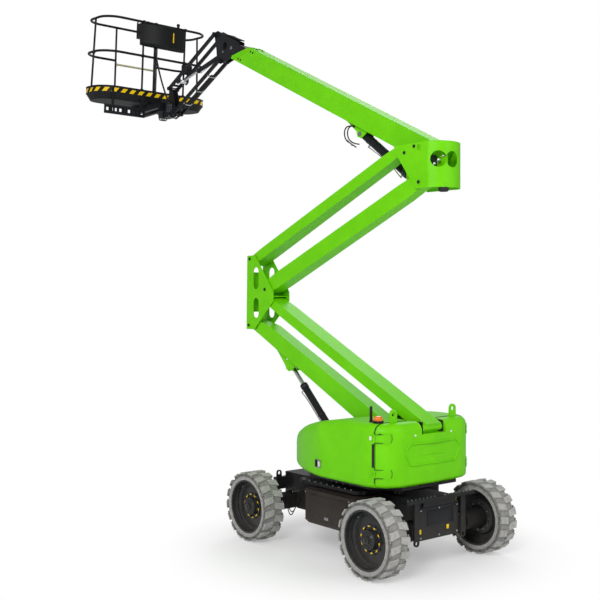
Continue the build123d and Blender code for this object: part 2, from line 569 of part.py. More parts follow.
# ------------------------------------------------------------------ lower knuckle
plate_outline = [step(K1, (65, 45)), step(K1, (-105, 45)), step(K2, (-172, -30)), step(K3, (-108, 10)),
                 step(K4, (-120, -56)), step(K4, (60, -56))]
side_plate = slab(plate_outline, KNUCKLE_Y, KNUCKLE_OUTER)
upright_edges = side_plate.edges().filter_by(Axis.Y)
apex = upright_edges.sort_by(Axis.X)[0:3]
side_plate = fillet(apex, KNUCKLE_APEX)
side_plate = fillet(side_plate.edges().filter_by(Axis.Y).filter_by(lambda e: e.center().X > K3[0] + 100), 14)
SLOT_X = K3[0] + 275
side_plate -= slot((SLOT_X, K3[1] + 235), (SLOT_X, K3[1] + 410), KNUCKLE_SLOT, 0, 400)
side_plate -= slot((SLOT_X, K3[1] - 155), (SLOT_X, K3[1] - 5), KNUCKLE_SLOT, 0, 400)
gusset_z = K3[1] + 75
gusset = block(K3[0] - 70, K3[0] + 110, -KNUCKLE_Y, KNUCKLE_Y, gusset_z - 5, gusset_z + 5)
front_tie = block(K4[0] + 30, K4[0] + 42, -KNUCKLE_Y, KNUCKLE_Y, K4[1] + 180, K1[1] - 180)
lower_knuckle = both_sides(side_plate) + gusset + front_tie
lower_knuckle -= [bore(place) for place in (K1, K2, K3, K4)]
write("lower_knuckle", lower_knuckle)
write("lower_knuckle_pins", *[pin(place, -KNUCKLE_OUTER - PIN_GAP, KNUCKLE_OUTER + PIN_GAP)
                              for place in (K1, K2, K3, K4)])

# ------------------------------------------------------------------ upper riser
MID_NEAR = MID_PLATE_Y + PLATE
main_link = tapered_beam(K2, UPPER_HEADING, straight_outline(UPPER_LENGTH, 124, 76, 45, 17),
                         LINK_Y, -90, -24, UPPER_LENGTH,
                         [(K2, 56, -KNUCKLE_Y + 1, KNUCKLE_Y - 1), (U2, 56, MID_NEAR + 1, KNUCKLE_Y - 1)])
write("upper_main_link", main_link)
strut = tapered_beam(K1, UPPER_HEADING, straight_outline(UPPER_LENGTH, 40, 98, 34, 12),
                     LINK_Y, -114, -38, UPPER_LENGTH,
                     [(K1, 44, -KNUCKLE_Y + 1, KNUCKLE_Y - 1), (U1, 40, MID_NEAR + 1, KNUCKLE_Y - 1)])
write("upper_strut", strut)

# ------------------------------------------------------------------ upper knuckle
WRAP_NEAR = WRAP_CENTRE_Y + WRAP_HALF
WRAP_FAR = WRAP_CENTRE_Y - WRAP_HALF
WRAP_FRONT = U1[0] + 60


def wrap_plan(half):
    front = WRAP_FRONT + 300
    near = Line((front, WRAP_CENTRE_Y + half), (WRAP_REAR, WRAP_CENTRE_Y + half))
    back = ThreePointArc((WRAP_REAR, WRAP_CENTRE_Y + half), (WRAP_REAR - WRAP_DEPTH + WRAP_HALF - half, WRAP_CENTRE_Y),
                         (WRAP_REAR, WRAP_CENTRE_Y - half))
    far = Line((WRAP_REAR, WRAP_CENTRE_Y - half), (front, WRAP_CENTRE_Y - half))
    close = Line((front, WRAP_CENTRE_Y - half), (front, WRAP_CENTRE_Y + half))
    return make_face(near + back + far + close)


wrap = extrude(Pos(0, 0, WRAP_LOW) * (wrap_plan(WRAP_HALF)), amount=WRAP_TOP - WRAP_LOW)
wrap -= extrude(Pos(0, 0, WRAP_LOW - 5) * (wrap_plan(WRAP_HALF - PLATE)), amount=WRAP_TOP - WRAP_LOW + 10)
near_outline = [(WRAP_REAR - 400, WRAP_LOW), (U2[0] + 52, WRAP_LOW), (U1[0] - 14, U1[1] - 110),
                (U1[0] + 46, U1[1] - 40), (U1[0] + 46, WRAP_TOP), (WRAP_REAR - 400, WRAP_TOP)]
far_outline = [(WRAP_REAR - 400, WRAP_LOW), (LIFT_FOOT[0] + 20, WRAP_LOW + 20), (LIFT_FOOT[0] + 70, LIFT_FOOT[1] - 20),
               (LIFT_FOOT[0] + 60, LIFT_FOOT[1] + 60), (U1[0] + 46, U1[1] - 40), (U1[0] + 46, WRAP_TOP),
               (WRAP_REAR - 400, WRAP_TOP)]
near_side = wrap & slab(near_outline, WRAP_CENTRE_Y, WRAP_NEAR + 1)
far_side = wrap & slab(far_outline, WRAP_FAR - 1, WRAP_CENTRE_Y)
mid_plate = slab(far_outline, MID_PLATE_Y, MID_NEAR)
mid_plate &= extrude(Pos(0, 0, WRAP_LOW) * (wrap_plan(WRAP_HALF - PLATE / 2)), amount=WRAP_TOP - WRAP_LOW)
upper_knuckle = near_side + far_side + mid_plate
REAR_HOLE = 90
REAR_HOLE_Z = WRAP_LOW + 310
# x, y and bearing of each round hole in the back
for x, y, bearing in ((-1253, 70, 50), (-1315, -90, 6)):
    upper_knuckle -= Pos(x, y, REAR_HOLE_Z) * Rot(0, 0, 180 - bearing) * Rot(0, 90, 0) * Cylinder(REAR_HOLE, 90)
near_bores = [disc(place, PIN_RADIUS + PIN_GAP, MID_PLATE_Y - 5, WRAP_NEAR + 5) for place in (U1, U2)]
upper_knuckle -= near_bores
upper_knuckle -= disc(BOOM_PIVOT, PIN_RADIUS + PIN_GAP, WRAP_FAR - 5, MID_NEAR + 5)
upper_knuckle -= disc(BOOM_PIVOT, 34, WRAP_CENTRE_Y + WRAP_HALF - PLATE - 5, WRAP_NEAR + 5)
upper_knuckle += disc(LIFT_FOOT, PIN_HEAD + 14, WRAP_FAR - 8, WRAP_FAR)
write("upper_knuckle", upper_knuckle)
link_pins = [pin(place, MID_PLATE_Y + 1, WRAP_NEAR + PIN_GAP, low_head=False) for place in (U1, U2)]
boom_pin = pin(BOOM_PIVOT, WRAP_FAR - PIN_GAP, MID_NEAR - 1, high_head=False)
write("upper_knuckle_pins", *link_pins, boom_pin)


# ------------------------------------------------------------------ main boom
def boom_spot(along, above):
    return spot(BOOM_PIVOT, BOOM_ANGLE, along, above)


def boom_slab(outline, half):
    return slab([boom_spot(u, v) for u, v in outline], BOOM_Y - half, BOOM_Y + half)


BOOM_MID = (BOOM_ABOVE - BOOM_BELOW) / 2
outer_box = boom_slab([(BOOM_TAIL, BOOM_ABOVE), (BOOM_TAIL + 20, -BOOM_BELOW + 90), (BOOM_TAIL + 120, -BOOM_BELOW),
                       (BOOM_LOW_END, -BOOM_BELOW), (BOOM_LOW_END, -BOOM_BELOW + 40), (BOOM_TOP_END, BOOM_ABOVE)],
                      BOOM_HALF)
inner_box = boom_slab([(BOOM_TAIL + 150, BOOM_ABOVE - BOX_WALL), (BOOM_TAIL + 150, -BOOM_BELOW + BOX_WALL),
                       (BOOM_LOW_END + 200, -BOOM_BELOW + BOX_WALL), (BOOM_LOW_END + 200, BOOM_ABOVE - BOX_WALL)],
                      BOOM_HALF - BOX_WALL)
main_boom = outer_box - inner_box
main_boom += disc(BOOM_PIVOT, 48, WRAP_FAR + PLATE + 1, MID_PLATE_Y - 1)
lift_ear = [boom_spot(u, v) for u, v in (
    (LIFT_EYE_ALONG - 120, -BOOM_BELOW + 2), (LIFT_EYE_ALONG - 44, -LIFT_EYE_BELOW - 42),
    (LIFT_EYE_ALONG + 34, -LIFT_EYE_BELOW - 42), (LIFT_EYE_ALONG + 72, -LIFT_EYE_BELOW + 8),
    (LIFT_EYE_ALONG + 345, -BOOM_BELOW + 2))]
for y in (-LIFT_EAR_Y - PLATE, LIFT_EAR_Y):
    main_boom += slab(lift_ear, BOOM_Y + y, BOOM_Y + y + PLATE)
main_boom -= [disc(BOOM_PIVOT, PIN_RADIUS + PIN_GAP, -1000, 1000), disc(LIFT_EYE, PIN_RADIUS + PIN_GAP, -1000, 1000)]
write("main_boom", main_boom)
LIFT_EAR_OUTER = LIFT_EAR_Y + PLATE + PIN_GAP
write("lift_eye_pin", pin(LIFT_EYE, BOOM_Y - LIFT_EAR_OUTER, BOOM_Y + LIFT_EAR_OUTER))

# The inner boom slides in the main boom on pads at the mouth.
INNER_TOP = -NOSE_BELOW + INNER_HALF_DEPTH
INNER_LOW = -NOSE_BELOW - INNER_HALF_DEPTH
inner_shell = boom_slab([(INNER_START, INNER_LOW), (NOSE_ALONG - 200, INNER_LOW), (NOSE_ALONG - 200, INNER_TOP),
                         (INNER_START, INNER_TOP)], INNER_HALF_WIDTH)
inner_shell -= boom_slab([(INNER_START - 10, INNER_LOW + BOX_WALL), (NOSE_ALONG, INNER_LOW + BOX_WALL),
                          (NOSE_ALONG, INNER_TOP - BOX_WALL), (INNER_START - 10, INNER_TOP - BOX_WALL)],
                         INNER_HALF_WIDTH - BOX_WALL)
cheek = boom_slab([(NOSE_ALONG - 200, INNER_LOW), (NOSE_ALONG + 20, INNER_LOW + 30), (NOSE_ALONG + 50, -NOSE_BELOW),
                   (NOSE_ALONG + 20, INNER_TOP - 30), (NOSE_ALONG - 200, INNER_TOP)], INNER_HALF_WIDTH)
cheek -= boom_slab([(NOSE_ALONG - 210, INNER_LOW - 20), (NOSE_ALONG + 100, INNER_LOW - 20),
                    (NOSE_ALONG + 100, INNER_TOP + 20), (NOSE_ALONG - 210, INNER_TOP + 20)],
                   INNER_HALF_WIDTH - BOX_WALL)
inner_boom = inner_shell + cheek
inner_boom -= bore(NOSE_PIVOT)
write("inner_boom", inner_boom)
pads = []
top_gap = (BOOM_ABOVE - BOX_WALL) - INNER_TOP
low_gap = INNER_LOW - (-BOOM_BELOW + BOX_WALL)
side_gap = (BOOM_HALF - BOX_WALL) - INNER_HALF_WIDTH
for u0, u1, v0, v1 in ((BOOM_TOP_END - 160, BOOM_TOP_END - 40, INNER_TOP + 1, BOOM_ABOVE - BOX_WALL),
                       (BOOM_LOW_END - 260, BOOM_LOW_END - 140, -BOOM_BELOW + BOX_WALL, INNER_LOW - 1)):
    pads.append(boom_slab([(u0, v0), (u1, v0), (u1, v1), (u0, v1)], INNER_HALF_WIDTH - 20))
write("boom_pads", *pads)

# ------------------------------------------------------------------ nose, jib bars and jib head
JIB_BAR_OUTER = JIB_BAR_Y + JIB_BAR_THICKNESS
NOSE_PLATE_OUTER = NOSE_PLATE_Y + PLATE
nose_outline = [step(JIB_TOP_PIN, (34, 0)), step(JIB_TOP_PIN, (14, 36)), step(JIB_TOP_PIN, (-60, 40)),
                step(NOSE_PIVOT, (-150, 60)), step(NOSE_PIVOT, (-120, -90)), step(JIB_LOW_PIN, (-60, -46)),
                step(JIB_LOW_PIN, (10, -46)), step(JIB_LOW_PIN, (85, 10)), step(JIB_TOP_PIN, (-20, -230))]
nose = slab(nose_outline, BOOM_Y - NOSE_PLATE_OUTER, BOOM_Y + NOSE_PLATE_OUTER)
nose -= block(2000, 4400, BOOM_Y - NOSE_PLATE_Y, BOOM_Y + NOSE_PLATE_Y, 5900, 7500)
nose -= slot(step(NOSE_PIVOT, (205, 76)), step(NOSE_PIVOT, (205, 78)), 52, -1000, 1000)
nose += rod((NOSE_PIVOT[0] - 60, BOOM_Y - NOSE_PLATE_Y - 5, NOSE_PIVOT[1] + 55),
            (NOSE_PIVOT[0] - 60, BOOM_Y + NOSE_PLATE_Y + 5, NOSE_PIVOT[1] + 55), 22)
nose += disc(JIB_TOP_PIN, 30, BOOM_Y - NOSE_PLATE_Y - 5, BOOM_Y + NOSE_PLATE_Y + 5)
nose -= [disc(place, JIB_PIN_RADIUS + PIN_GAP, -1000, 1000) for place in (JIB_TOP_PIN, JIB_LOW_PIN, JIB_CYLINDER_FOOT)]
nose -= disc(NOSE_PIVOT, PIN_RADIUS + PIN_GAP, -1000, 1000)
write("boom_nose", nose)


def jib_pin(place, reach):
    return disc(place, JIB_PIN_RADIUS, BOOM_Y - reach, BOOM_Y + reach)


def capped_pin(place, reach):
    """A jib pin with a head past each end."""
    heads = [disc(place, 28, BOOM_Y + y0, BOOM_Y + y1)
             for y0, y1 in ((-reach - HEAD_THICKNESS, -reach), (reach, reach + HEAD_THICKNESS))]
    return jib_pin(place, reach) + heads


# The lower jib pin is a stub in each plate, and the cylinder's barrel swings between them.
barrel_path = disc(JIB_LOW_PIN, 60, BOOM_Y - NOSE_PLATE_Y + 0.5, BOOM_Y + NOSE_PLATE_Y - 0.5)
low_stubs = capped_pin(JIB_LOW_PIN, JIB_BAR_OUTER + PIN_GAP) - barrel_path
write("nose_pins", capped_pin(JIB_TOP_PIN, JIB_BAR_OUTER + PIN_GAP), low_stubs,
      jib_pin(JIB_CYLINDER_FOOT, NOSE_PLATE_OUTER), disc(NOSE_PIVOT, PIN_RADIUS, BOOM_Y - INNER_HALF_WIDTH, BOOM_Y + INNER_HALF_WIDTH))


def jib_bars(start, depth):
    """Two flat bars, one each side of the nose, with round ends."""
    half = depth / 2
    outline = [spot(start, JIB_ANGLE, u, v) for u, v in ((0, -half), (JIB_LENGTH, -half), (JIB_LENGTH, half), (0, half))]
    end = spot(start, JIB_ANGLE, JIB_LENGTH)
    bars = []
    for y in (BOOM_Y - JIB_BAR_OUTER, BOOM_Y + JIB_BAR_Y):
        bar = slab(outline, y, y + JIB_BAR_THICKNESS)
        bar += disc(start, half, y, y + JIB_BAR_THICKNESS)
        bar += disc(end, half, y, y + JIB_BAR_THICKNESS)
        bars.append(bar)
    bars = bars[0] + bars[1]
    return bars - [disc(place, JIB_PIN_RADIUS + PIN_GAP, -1000, 1000) for place in (start, end)]


low_bars = jib_bars(JIB_LOW_PIN, JIB_BAR_DEPTH)
cross_spot = spot(JIB_LOW_PIN, JIB_ANGLE, JIB_LENGTH - 190)
low_bars += disc(cross_spot, 20, BOOM_Y - JIB_BAR_Y, BOOM_Y + JIB_BAR_Y)
write("jib_lower_bars", low_bars)
top_bars = jib_bars(JIB_TOP_PIN, JIB_BAR_DEPTH)
eye_cheek = [spot(JIB_TOP_PIN, JIB_ANGLE, u, v) for u, v in (
    (JIB_EYE_ALONG - 90, 10), (JIB_EYE_ALONG - 34, -JIB_EYE_BELOW - 30), (JIB_EYE_ALONG + 34, -JIB_EYE_BELOW - 30),
    (JIB_EYE_ALONG + 90, 10))]
for y in (BOOM_Y - JIB_BAR_OUTER, BOOM_Y + JIB_BAR_Y):
    top_bars += slab(eye_cheek, y, y + JIB_BAR_THICKNESS)
top_bars += disc(spot(JIB_TOP_PIN, JIB_ANGLE, JIB_LENGTH - 97), 18, BOOM_Y - JIB_BAR_Y, BOOM_Y + JIB_BAR_Y)
write("jib_upper_bars", top_bars)

HEAD_PLATE_Y = 40
head_outline = [step(JIB_TOP_END, (35, 32)), step(JIB_TOP_END, (-40, 20)), step(JIB_TOP_END, (-60, -60)),
                step(JIB_LOW_END, (-42, 10)), step(JIB_LOW_END, (-10, -44)), (ROTATOR_X - 40, ROTATOR_LOW + 15),
                (ROTATOR_X - 40, ROTATOR_TOP - 25)]
head = slab(head_outline, BOOM_Y - HEAD_PLATE_Y - PLATE, BOOM_Y + HEAD_PLATE_Y + PLATE)
head -= slab([(4000, 5700), (ROTATOR_X - ROTATOR_RADIUS - 20, 5700), (ROTATOR_X - ROTATOR_RADIUS - 20, 6500), (4000, 6500)],
             BOOM_Y - HEAD_PLATE_Y, BOOM_Y + HEAD_PLATE_Y)
head += Pos(ROTATOR_X, BOOM_Y, (ROTATOR_LOW + ROTATOR_TOP) / 2) * Cylinder(ROTATOR_RADIUS, ROTATOR_TOP - ROTATOR_LOW)
head -= [disc(place, JIB_PIN_RADIUS + PIN_GAP, -1000, 1000) for place in (JIB_TOP_END, JIB_LOW_END)]
head -= Pos(ROTATOR_X, BOOM_Y, ROTATOR_LOW) * Cylinder(30 + PIN_GAP, 800)
head -= Pos(ROTATOR_X, BOOM_Y, ROTATOR_TOP + 15) * Cylinder(ROTATOR_RADIUS + 8, 30)
write("jib_head", head)
write("head_pins", capped_pin(JIB_TOP_END, JIB_BAR_OUTER + PIN_GAP), capped_pin(JIB_LOW_END, JIB_BAR_OUTER + PIN_GAP))


# ------------------------------------------------------------------ cylinders
def cylinder(name, foot, eye, y, barrel_radius, rod_radius, barrel_length, foot_radius, foot_half, eye_radius,
             eye_half, pin_radius, rod_start):
    """A ram from its barrel's foot to its rod's eye, in two nodes. The rod carries its own pin."""
    angle = degrees(atan2(eye[1] - foot[1], eye[0] - foot[0]))
    total = hypot(eye[0] - foot[0], eye[1] - foot[1])

    def on_axis(along):
        x, z = spot(foot, angle, along)
        return (x, y, z)

    barrel = rod(on_axis(foot_radius * 0.4), on_axis(barrel_length), barrel_radius)
    barrel += disc(foot, foot_radius, y - foot_half, y + foot_half)
    barrel -= rod(on_axis(foot_radius + 40), on_axis(barrel_length + 10), rod_radius + PIN_GAP)
    barrel -= disc(foot, pin_radius + PIN_GAP, -1500, 1500)
    ram = rod(on_axis(rod_start), on_axis(total - eye_radius * 0.5), rod_radius)
    ram += disc(eye, eye_radius, y - eye_half, y + eye_half)
    ram += disc(eye, pin_radius, y - eye_half - 5, y + eye_half + 5)
    write(f"{name}_barrel", barrel)
    write(f"{name}_rod", ram)


cylinder("riser_cylinder", RISER_CYLINDER_FOOT, RISER_EYE, 0, 46, 27, 1130, 55, 60, 46, 44, PIN_RADIUS, 340)
cylinder("lift_cylinder", LIFT_EYE, LIFT_FOOT, BOOM_Y, 54, 28, 940, 44, 60, 44, 60, PIN_RADIUS, 290)
cylinder("jib_cylinder", JIB_CYLINDER_FOOT, JIB_EYE, BOOM_Y, 33, 18, 760, 30, 38, 28, 54, JIB_PIN_RADIUS, 440)

# ------------------------------------------------------------------ cage bracket
yoke_x = ROTATOR_X + ROTATOR_RADIUS + 18
bracket = [
    Pos(ROTATOR_X, BOOM_Y, z) * Cylinder(ROTATOR_RADIUS, 20) + block(ROTATOR_X, yoke_x + 30, BOOM_Y - 60, BOOM_Y + 60, z - 10, z + 10)
    for z in (ROTATOR_LOW - 11, ROTATOR_TOP + 11)
]
bracket = bracket[0] + bracket[1]
bracket += block(yoke_x, yoke_x + 30, BOOM_Y - 60, BOOM_Y + 60, ROTATOR_LOW - 21, ROTATOR_TOP + 21)
bracket += Pos(ROTATOR_X, BOOM_Y, (ROTATOR_LOW + ROTATOR_TOP) / 2) * Cylinder(30, ROTATOR_TOP - ROTATOR_LOW + 30)
for y in (-130, 70):
    bracket += block(yoke_x, CAGE_X + 250, BOOM_Y + y, BOOM_Y + y + 60, 6040, 6190)
bracket += block(yoke_x, yoke_x + 30, BOOM_Y - 130, BOOM_Y + 130, 6000, 6131)


# ------------------------------------------------------------------ cage
def cage_place(shape):
    """From the cage's own frame, with its floor's top centre at the origin, to the machine."""
    return Pos(CAGE_X, BOOM_Y, CAGE_FLOOR_TOP) * Rot(0, -CAGE_PITCH, 0) * shape


floor_face = RectangleRounded(CAGE_DEPTH, CAGE_LENGTH, CAGE_CORNER)
floor_face_low = RectangleRounded(CAGE_DEPTH - 130, CAGE_LENGTH - 130, CAGE_CORNER - 65)
floor_upper = extrude(Pos(0, 0, -CAGE_FLOOR_THICKNESS / 2) * floor_face, amount=CAGE_FLOOR_THICKNESS / 2)
floor_lower = loft([Pos(0, 0, -CAGE_FLOOR_THICKNESS / 2) * floor_face, Pos(0, 0, -CAGE_FLOOR_THICKNESS) * floor_face_low],
                   ruled=True)
tray = extrude(Pos(0, 0, -CAGE_TRAY_DEPTH) * RectangleRounded(CAGE_DEPTH - 70, CAGE_LENGTH - 70, CAGE_CORNER - 35), amount=60)
mat = extrude(Pos(0, 0, -CAGE_TRAY_DEPTH) * RectangleRounded(CAGE_DEPTH - 100, CAGE_LENGTH - 100, CAGE_CORNER - 50), amount=6)
cage_floor_solid = floor_upper + floor_lower
cage_floor = cage_floor_solid - tray + mat
write("cage_floor", cage_place(cage_floor))
write("cage_bracket", bracket - cage_place(Pos(0, 0, 300 - CAGE_FLOOR_THICKNESS - 0.5) * Box(2000, 3000, 600)))

RAIL_X = CAGE_DEPTH / 2 - RAIL_RADIUS - 4
RAIL_Y = CAGE_LENGTH / 2 - RAIL_RADIUS - 4
RAIL_CORNER = CAGE_CORNER - RAIL_RADIUS - 4


def rail_loop(height, inset=0):
    """A rail all round the cage."""
    path = Pos(0, 0, height) * RectangleRounded(2 * RAIL_X, 2 * (RAIL_Y - inset), RAIL_CORNER - inset)
    wire = path.wire()
    return sweep(Plane(origin=wire @ 0, z_dir=wire % 0) * Circle(RAIL_RADIUS), path=wire)


GATE_Y = 5               # middle of the way in, on the cage's front side
top_rail = rail_loop(RAIL_HEIGHT, TOP_RAIL_INSET)
mid_rail = rail_loop(MID_RAIL_HEIGHT)
mid_rail -= block(RAIL_X - 60, RAIL_X + 60, GATE_Y - GATE_HALF, GATE_Y + GATE_HALF,
                  MID_RAIL_HEIGHT - 60, MID_RAIL_HEIGHT + 60)
# x, y at the floor, y at the top and radius of each post
POSTS = (
    (-RAIL_X, 290, 290, POST_RADIUS), (-RAIL_X, 68, 68, POST_RADIUS + 9), (-RAIL_X, -486, -486, POST_RADIUS),
    (RAIL_X, GATE_Y + GATE_HALF, GATE_Y + GATE_HALF, POST_RADIUS),
    (RAIL_X, GATE_Y - GATE_HALF, GATE_Y - GATE_HALF, POST_RADIUS),
    (0, RAIL_Y, RAIL_Y - TOP_RAIL_INSET, POST_RADIUS), (0, -RAIL_Y, -RAIL_Y + TOP_RAIL_INSET, POST_RADIUS),
)
write("cage_top_rail", cage_place(top_rail))
write("cage_mid_rail", cage_place(mid_rail))
posts = []
for x, low_y, top_y, radius in POSTS:
    post = rod((x, low_y, 0), (x, top_y, RAIL_HEIGHT), radius) & block(-900, 900, -1500, 1500, 0, RAIL_HEIGHT)
    posts.append(cage_place(post - top_rail - mid_rail))
write("cage_posts", *posts)

# The sliding bar across the way in lifts along its two posts.
BAR_RADIUS = 17
SLEEVE_RADIUS = POST_RADIUS + PIN_GAP + 8
SLEEVE_LOW = MID_RAIL_HEIGHT - 95
SLEEVE_HEIGHT = 64
BAR_DROP = 62
gate = rod((RAIL_X, GATE_Y - GATE_HALF, MID_RAIL_HEIGHT - BAR_DROP),
           (RAIL_X, GATE_Y + GATE_HALF, MID_RAIL_HEIGHT - BAR_DROP), BAR_RADIUS)
for end in (-1, 1):
    gate += Pos(RAIL_X, GATE_Y + end * GATE_HALF, SLEEVE_LOW + SLEEVE_HEIGHT / 2) * Cylinder(SLEEVE_RADIUS, SLEEVE_HEIGHT)
for end in (-1, 1):
    gate -= Pos(RAIL_X, GATE_Y + end * GATE_HALF, MID_RAIL_HEIGHT) * Cylinder(POST_RADIUS + PIN_GAP, 400)
gate &= block(RAIL_X - 100, RAIL_X + 100, GATE_Y - GATE_HALF + 5, GATE_Y + GATE_HALF - 5, 0, RAIL_HEIGHT)
write("gate_bar", cage_place(gate))

# Console box on the boom-side rail.
CONSOLE_LOW = 700
CONSOLE_TOP = RAIL_HEIGHT - RAIL_RADIUS - 6
CONSOLE_END_1 = -470
CONSOLE_END_2 = 360
CONSOLE_BULGE = 95
CONSOLE_DEPTH = 110
outline = ThreePointArc((-RAIL_X - 30, CONSOLE_END_1), (-RAIL_X - CONSOLE_BULGE, (CONSOLE_END_1 + CONSOLE_END_2) / 2),
                        (-RAIL_X - 30, CONSOLE_END_2))
outline += Polyline((-RAIL_X - 30, CONSOLE_END_2), (-RAIL_X + CONSOLE_DEPTH, CONSOLE_END_2),
                    (-RAIL_X + CONSOLE_DEPTH, CONSOLE_END_1), (-RAIL_X - 30, CONSOLE_END_1))
console = extrude(Pos(0, 0, CONSOLE_LOW) * make_face(outline), amount=CONSOLE_TOP - CONSOLE_LOW)
console = fillet(console.edges().group_by(Axis.Z)[0].group_by(Axis.X)[0], 60)
console = fillet(console.edges().group_by(Axis.Z)[-1], 14)
console -= block(-RAIL_X - 5, -RAIL_X + 200, CONSOLE_END_1 - 10, CONSOLE_END_2 + 10, CONSOLE_LOW - 10, CONSOLE_LOW + 120)
for x, low_y, top_y, radius in POSTS:
    console -= rod((x, low_y, 0), (x, low_y, RAIL_HEIGHT), radius)
write("cage_console", cage_place(console))
STEP_LOW = -445
STEP_TOP = -300
STEP_HOLES = 6
step_bar = block(-RAIL_X - 10, -RAIL_X + 12, 225, 945, STEP_LOW, STEP_TOP)
step_pitch = (945 - 225) / STEP_HOLES
for index in range(STEP_HOLES):
    middle = 225 + (index + 0.5) * step_pitch
    step_bar -= block(-RAIL_X - 20, -RAIL_X + 20, middle - 42, middle + 42, STEP_LOW + 40, STEP_TOP - 32)
for y in (290, 800):
    step_bar += block(-RAIL_X - 10, -RAIL_X + 12, y - 20, y + 20, STEP_TOP - 5, -CAGE_FLOOR_THICKNESS + 200)
write("cage_step", cage_place(step_bar - cage_floor_solid))
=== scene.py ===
import functools
import json
from math import cos, pi, radians, sin, tau

import bmesh
import bpy
from mathutils import Matrix, Vector
from mathutils.bvhtree import BVHTree


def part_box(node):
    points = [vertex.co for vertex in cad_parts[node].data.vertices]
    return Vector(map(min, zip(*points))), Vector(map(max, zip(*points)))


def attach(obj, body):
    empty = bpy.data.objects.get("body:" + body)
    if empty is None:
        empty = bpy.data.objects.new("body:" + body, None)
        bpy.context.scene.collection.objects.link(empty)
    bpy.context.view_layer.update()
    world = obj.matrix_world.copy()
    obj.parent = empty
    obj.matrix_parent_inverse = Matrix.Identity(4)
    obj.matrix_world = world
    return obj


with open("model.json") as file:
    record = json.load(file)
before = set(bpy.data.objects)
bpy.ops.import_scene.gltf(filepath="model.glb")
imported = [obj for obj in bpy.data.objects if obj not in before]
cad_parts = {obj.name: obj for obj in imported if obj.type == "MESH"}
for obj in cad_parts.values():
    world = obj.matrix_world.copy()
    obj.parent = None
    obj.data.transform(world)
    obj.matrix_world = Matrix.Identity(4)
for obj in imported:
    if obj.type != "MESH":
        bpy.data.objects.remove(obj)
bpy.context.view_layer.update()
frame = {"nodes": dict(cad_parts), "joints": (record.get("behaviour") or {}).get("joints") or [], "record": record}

bl_info = {
    "name": "Articulating Boom Lift",
    "version": (1, 0, 0),
    "blender": (4, 5, 0),
    "location": "View3D > Sidebar > Boom Lift",
    "description": "Dresses the packed frame of an articulating boom lift",
    "category": "Object",
}

# ---------------------------------------------------------------- shared small tools
BOOM_ANGLE = radians(26.9)
JIB_ANGLE = radians(-24.4)
RISER_ANGLE = radians(26.3)
AXLE_X, AXLE_Z = 1.06, 0.42
NODES = frame["nodes"]
SLOT_OF = {part["node"]: part["material_slot"] for part in frame["record"]["subparts"]}
JOINTS = {joint["name"]: joint for joint in frame["joints"]}
SIDES = (1, -1)
HANDS = (("left", 1), ("right", -1))
X, Y, Z = Vector((1, 0, 0)), Vector((0, 1, 0)), Vector((0, 0, 1))
move = Matrix.Translation


def linear(code):
    """An sRGB hex colour as a linear RGBA tuple."""
    channels = [int(code[i:i + 2], 16) / 255 for i in (1, 3, 5)]
    return tuple(c / 12.92 if c <= 0.04045 else ((c + 0.055) / 1.055) ** 2.4 for c in channels) + (1.0,)


def pivot(joint):
    """A joint's place in the machine."""
    return Vector(JOINTS[joint]["pos_m"])


def slide_axes(joint):
    """A cylinder's direction, and the one square to it in the boom plane."""
    along = Vector(JOINTS[joint]["axis"]).normalized()
    return along, Vector((-along.z, 0, along.x))


def add_node(tree, kind, settings=None, values=None, links=None):
    """Adds one node, with its settings, its sockets' values and its incoming links."""
    node = tree.nodes.new(kind)
    for key, value in (settings or {}).items():
        setattr(node, key, value)
    for key, value in (values or {}).items():
        node.inputs[key].default_value = value
    for key, socket in (links or {}).items():
        tree.links.new(socket, node.inputs[key])
    return node


def rotated(angle, axis="Z"):
    return Matrix.Rotation(angle, 4, axis)


def around(count, first=0.0):
    """Even angles round a circle."""
    return [index * tau / count + first for index in range(count)]


def aim(direction, up=(0, 0, 1)):
    """A rotation that takes +Z to a direction and +X as near to up as it can be."""
    z = Vector(direction).normalized()
    x = Vector(up) - Vector(up).dot(z) * z
    if x.length < 1e-6:
        x = Vector((1, 0, 0)) - z.x * z
    x.normalize()
    y = z.cross(x)
    return Matrix((x, y, z)).transposed().to_4x4()


def place(centre, direction=(0, 0, 1)):
    return move(Vector(centre)) @ aim(direction)


def in_plane(origin, angle, along, above=0.0, y=0.0):
    """A point at (along, above) from an origin in a boom plane, at a Y of its own."""
    return Vector((origin.x + along * cos(angle) - above * sin(angle), y,
                   origin.z + along * sin(angle) + above * cos(angle)))


# ---------------------------------------------------------------- pieces and their shapes
def add_object(name, mesh):
    thing = bpy.data.objects.new(name, mesh)
    bpy.context.scene.collection.objects.link(thing)
    return thing


def make(name, body, finish, *shapes):
    """Draws shapes, or lists of them, as one piece that rides on a body."""
    bm = bmesh.new()
    draw_all(bm, shapes)
    bmesh.ops.remove_doubles(bm, verts=bm.verts, dist=0.00002)
    bmesh.ops.recalc_face_normals(bm, faces=bm.faces)
    mesh = bpy.data.meshes.new(name)
    bm.to_mesh(mesh)
    bm.free()
    piece = add_object(name, mesh)
    mesh.materials.append(FINISHES[finish])
    mesh.shade_smooth()
    mesh.set_sharp_from_angle(angle=radians(38))
    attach(piece, body)


def draw_all(bm, shapes):
    for item in shapes:
        if callable(item):
            item(bm)
        else:
            draw_all(bm, item)


def shape(draw):
    """Lets a shape be listed first, and drawn later in the bmesh of its piece."""
    @functools.wraps(draw)
    def listed(*args, **kwargs):
        return lambda bm: draw(bm, *args, **kwargs)
    return listed


def edges_of(vertices):
    """The vertices' edges, each once and in the same order on every run."""
    return list(dict.fromkeys(edge for vertex in vertices for edge in vertex.link_edges))


def round_off(bm, edges, offset):
    bmesh.ops.bevel(bm, geom=edges, offset=offset, offset_type="OFFSET", affect="EDGES",
                    segments=2, profile=0.5, material=-1)


